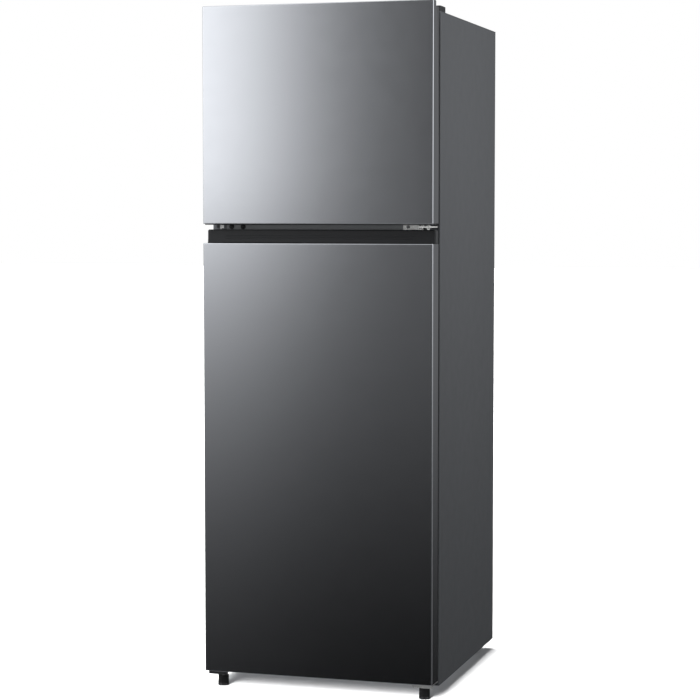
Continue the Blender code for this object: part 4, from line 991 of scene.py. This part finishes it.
# The cap's ends are plain plates, coloured a lighter grey than the cap's face.
cap_end_plastic = grained("cap_end_plastic", (0.040, 0.041, 0.043), 0.42, drift=0.05, grain_scale=2600.0,
                          depth=0.00003)
cap_ends = bmesh.new()
for sign in (-1, 1):
    inner, outer = sorted((sign * 0.2965, sign * 0.2985))
    rounded_block(cap_ends, (inner, -0.3082, 1.1400), (outer, -0.2845, 1.1708), 0.0004, 2)
finish_piece(cap_ends, "cap_ends", "fridge_door", cap_end_plastic)
# A thin black strip just below the freezer door's front edge is a painted shadow: it stands in for the dark
# line under the door.
painted_shadow_strip = bmesh.new()
rounded_block(painted_shadow_strip, (-0.2970, -0.3336, 1.1849), (0.2970, -0.3312, 1.1886), 0.0005, 2)
finish_piece(painted_shadow_strip, "painted_shadow_strip", "freezer_door", edge_plastic_and_shadow_black)


# Door seals: soft magnetic gaskets, extruded with a folded bellows and welded at their
# corners. They push into a groove round each inner panel.
seal_rubber = grained("seal_rubber", (0.008, 0.008, 0.009), 0.60, drift=0.06, smudges=0.06, grain_scale=700.0,
                      depth=0.00006)
facing_in = Matrix.Rotation(-math.pi / 2, 4, "X")
bellows = [(-0.0088, 0.0001), (0.0088, 0.0001), (0.0088, 0.0012), (0.0060, 0.0018), (0.0080, 0.0034),
           (0.0054, 0.0048), (0.0084, 0.0064), (0.0089, 0.0072), (0.0089, 0.0106), (0.0084, 0.0110),
           (-0.0084, 0.0110), (-0.0089, 0.0106), (-0.0089, 0.0072), (-0.0084, 0.0064), (-0.0050, 0.0048),
           (-0.0080, 0.0034), (-0.0060, 0.0018), (-0.0088, 0.0012)]
for door in ("freezer_door", "fridge_door"):
    low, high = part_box(door + "_gasket")
    seal = bmesh.new()
    place = Matrix.Translation((0, low.y, (low.z + high.z) / 2)) @ facing_in
    sweep_frame(seal, bellows, 0.267, (high.z - low.z) / 2 - 0.009, 0.0105, place)
    finish_piece(seal, door + "_seal", door, seal_rubber, (door + "_gasket",), 50.0)


# Inner door panels: vacuum formed from white sheet plastic, with a tall raised border
# that the bins hook into, and small pads that hold the bins up.
liner_white = grained("liner_white", (0.68, 0.69, 0.70), 0.22, drift=0.015, grain_scale=260.0, depth=0.00006)
panel_rear = -0.2797
border = [(-0.0083, 0.0), (-0.0078, 0.0330), (-0.0070, 0.0375), (-0.0045, 0.0395), (0.0045, 0.0395),
          (0.0070, 0.0375), (0.0078, 0.0330), (0.0083, 0.0)]
for door, border_low, border_high in (("freezer_door", 1.240, 1.640), ("fridge_door", 0.112, 1.108)):
    low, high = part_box(door + "_liner")
    panel_sheet = bmesh.new()
    rounded_block(panel_sheet, (low.x + 0.0074, low.y + 0.0001, low.z + 0.0030),
                  (high.x - 0.0074, panel_rear, high.z - 0.0030), 0.0040, 4, along(1))
    place = Matrix.Translation((0, panel_rear, (border_low + border_high) / 2)) @ facing_in
    sweep_frame(panel_sheet, border, 0.2265, (border_high - border_low) / 2 - 0.0085, 0.0140, place, 6)
    for node in sorted(n for n in nodes if n.startswith(door + "_bin")):
        bin_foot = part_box(node)[0].z
        for sign in (-1, 1):
            inner, outer = sorted((sign * 0.2186, sign * 0.2090))
            rounded_block(panel_sheet, (inner, panel_rear, bin_foot - 0.0140),
                          (outer, -0.2520, bin_foot - 0.0006), 0.0028)
    finish_piece(panel_sheet, door + "_inner_panel", door, liner_white, (door + "_liner",),
                 50.0)


# Door bins: injection moulded in clear plastic, with a rolled rim, a softer front and
# fine ribs on the floor that keep bottles from sticking.
bin_corner, bin_wall, rib_count = 0.0120, 0.0022, 14
bin_rim = [(-0.0001, 0.0), (-0.0001, 0.0054), (-0.0008, 0.0059), (-0.0034, 0.0059), (-0.0040, 0.0053),
           (-0.0040, 0.0036), (-0.0026, 0.0030), (-0.0024, 0.0)]
for node in sorted(n for n in nodes if "_door_bin_" in n):
    door = node.split("_bin_")[0]
    low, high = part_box(node)
    tub = bmesh.new()
    add_block(tub, low, high)
    bmesh.ops.delete(tub, geom=[f for f in tub.faces if f.calc_center_median().z > high.z - 1e-6],
                     context="FACES_ONLY")
    round_edges(tub, edges_of(tub.verts, along(2)), bin_corner, 6)
    floor_edges = [e for e in tub.edges if all(abs(v.co.z - low.z) < 1e-6 for v in e.verts)
                   and len(e.link_faces) == 2]
    round_edges(tub, floor_edges, 0.0050, 4)
    finish_piece(tub, node + "_moulding", door, clear_plastic, (node,), 50.0, bin_wall)
    trim = bmesh.new()
    middle, half = (low + high) / 2, (high - low) / 2
    place = Matrix.Translation((middle.x, middle.y, high.z - 0.0060))
    sweep_frame(trim, bin_rim, half.x, half.y, bin_corner, place, 6)
    rib_foot, rib_top = low.z + bin_wall - 0.0002, low.z + bin_wall + 0.0010
    for rib in range(rib_count):
        x = low.x + 0.022 + (high.x - low.x - 0.044) * rib / (rib_count - 1)
        rounded_block(trim, (x - 0.0008, low.y + 0.012, rib_foot), (x + 0.0008, high.y - 0.012, rib_top),
                      0.0005, 2)
    finish_piece(trim, node + "_moulding_rim", door, clear_plastic)
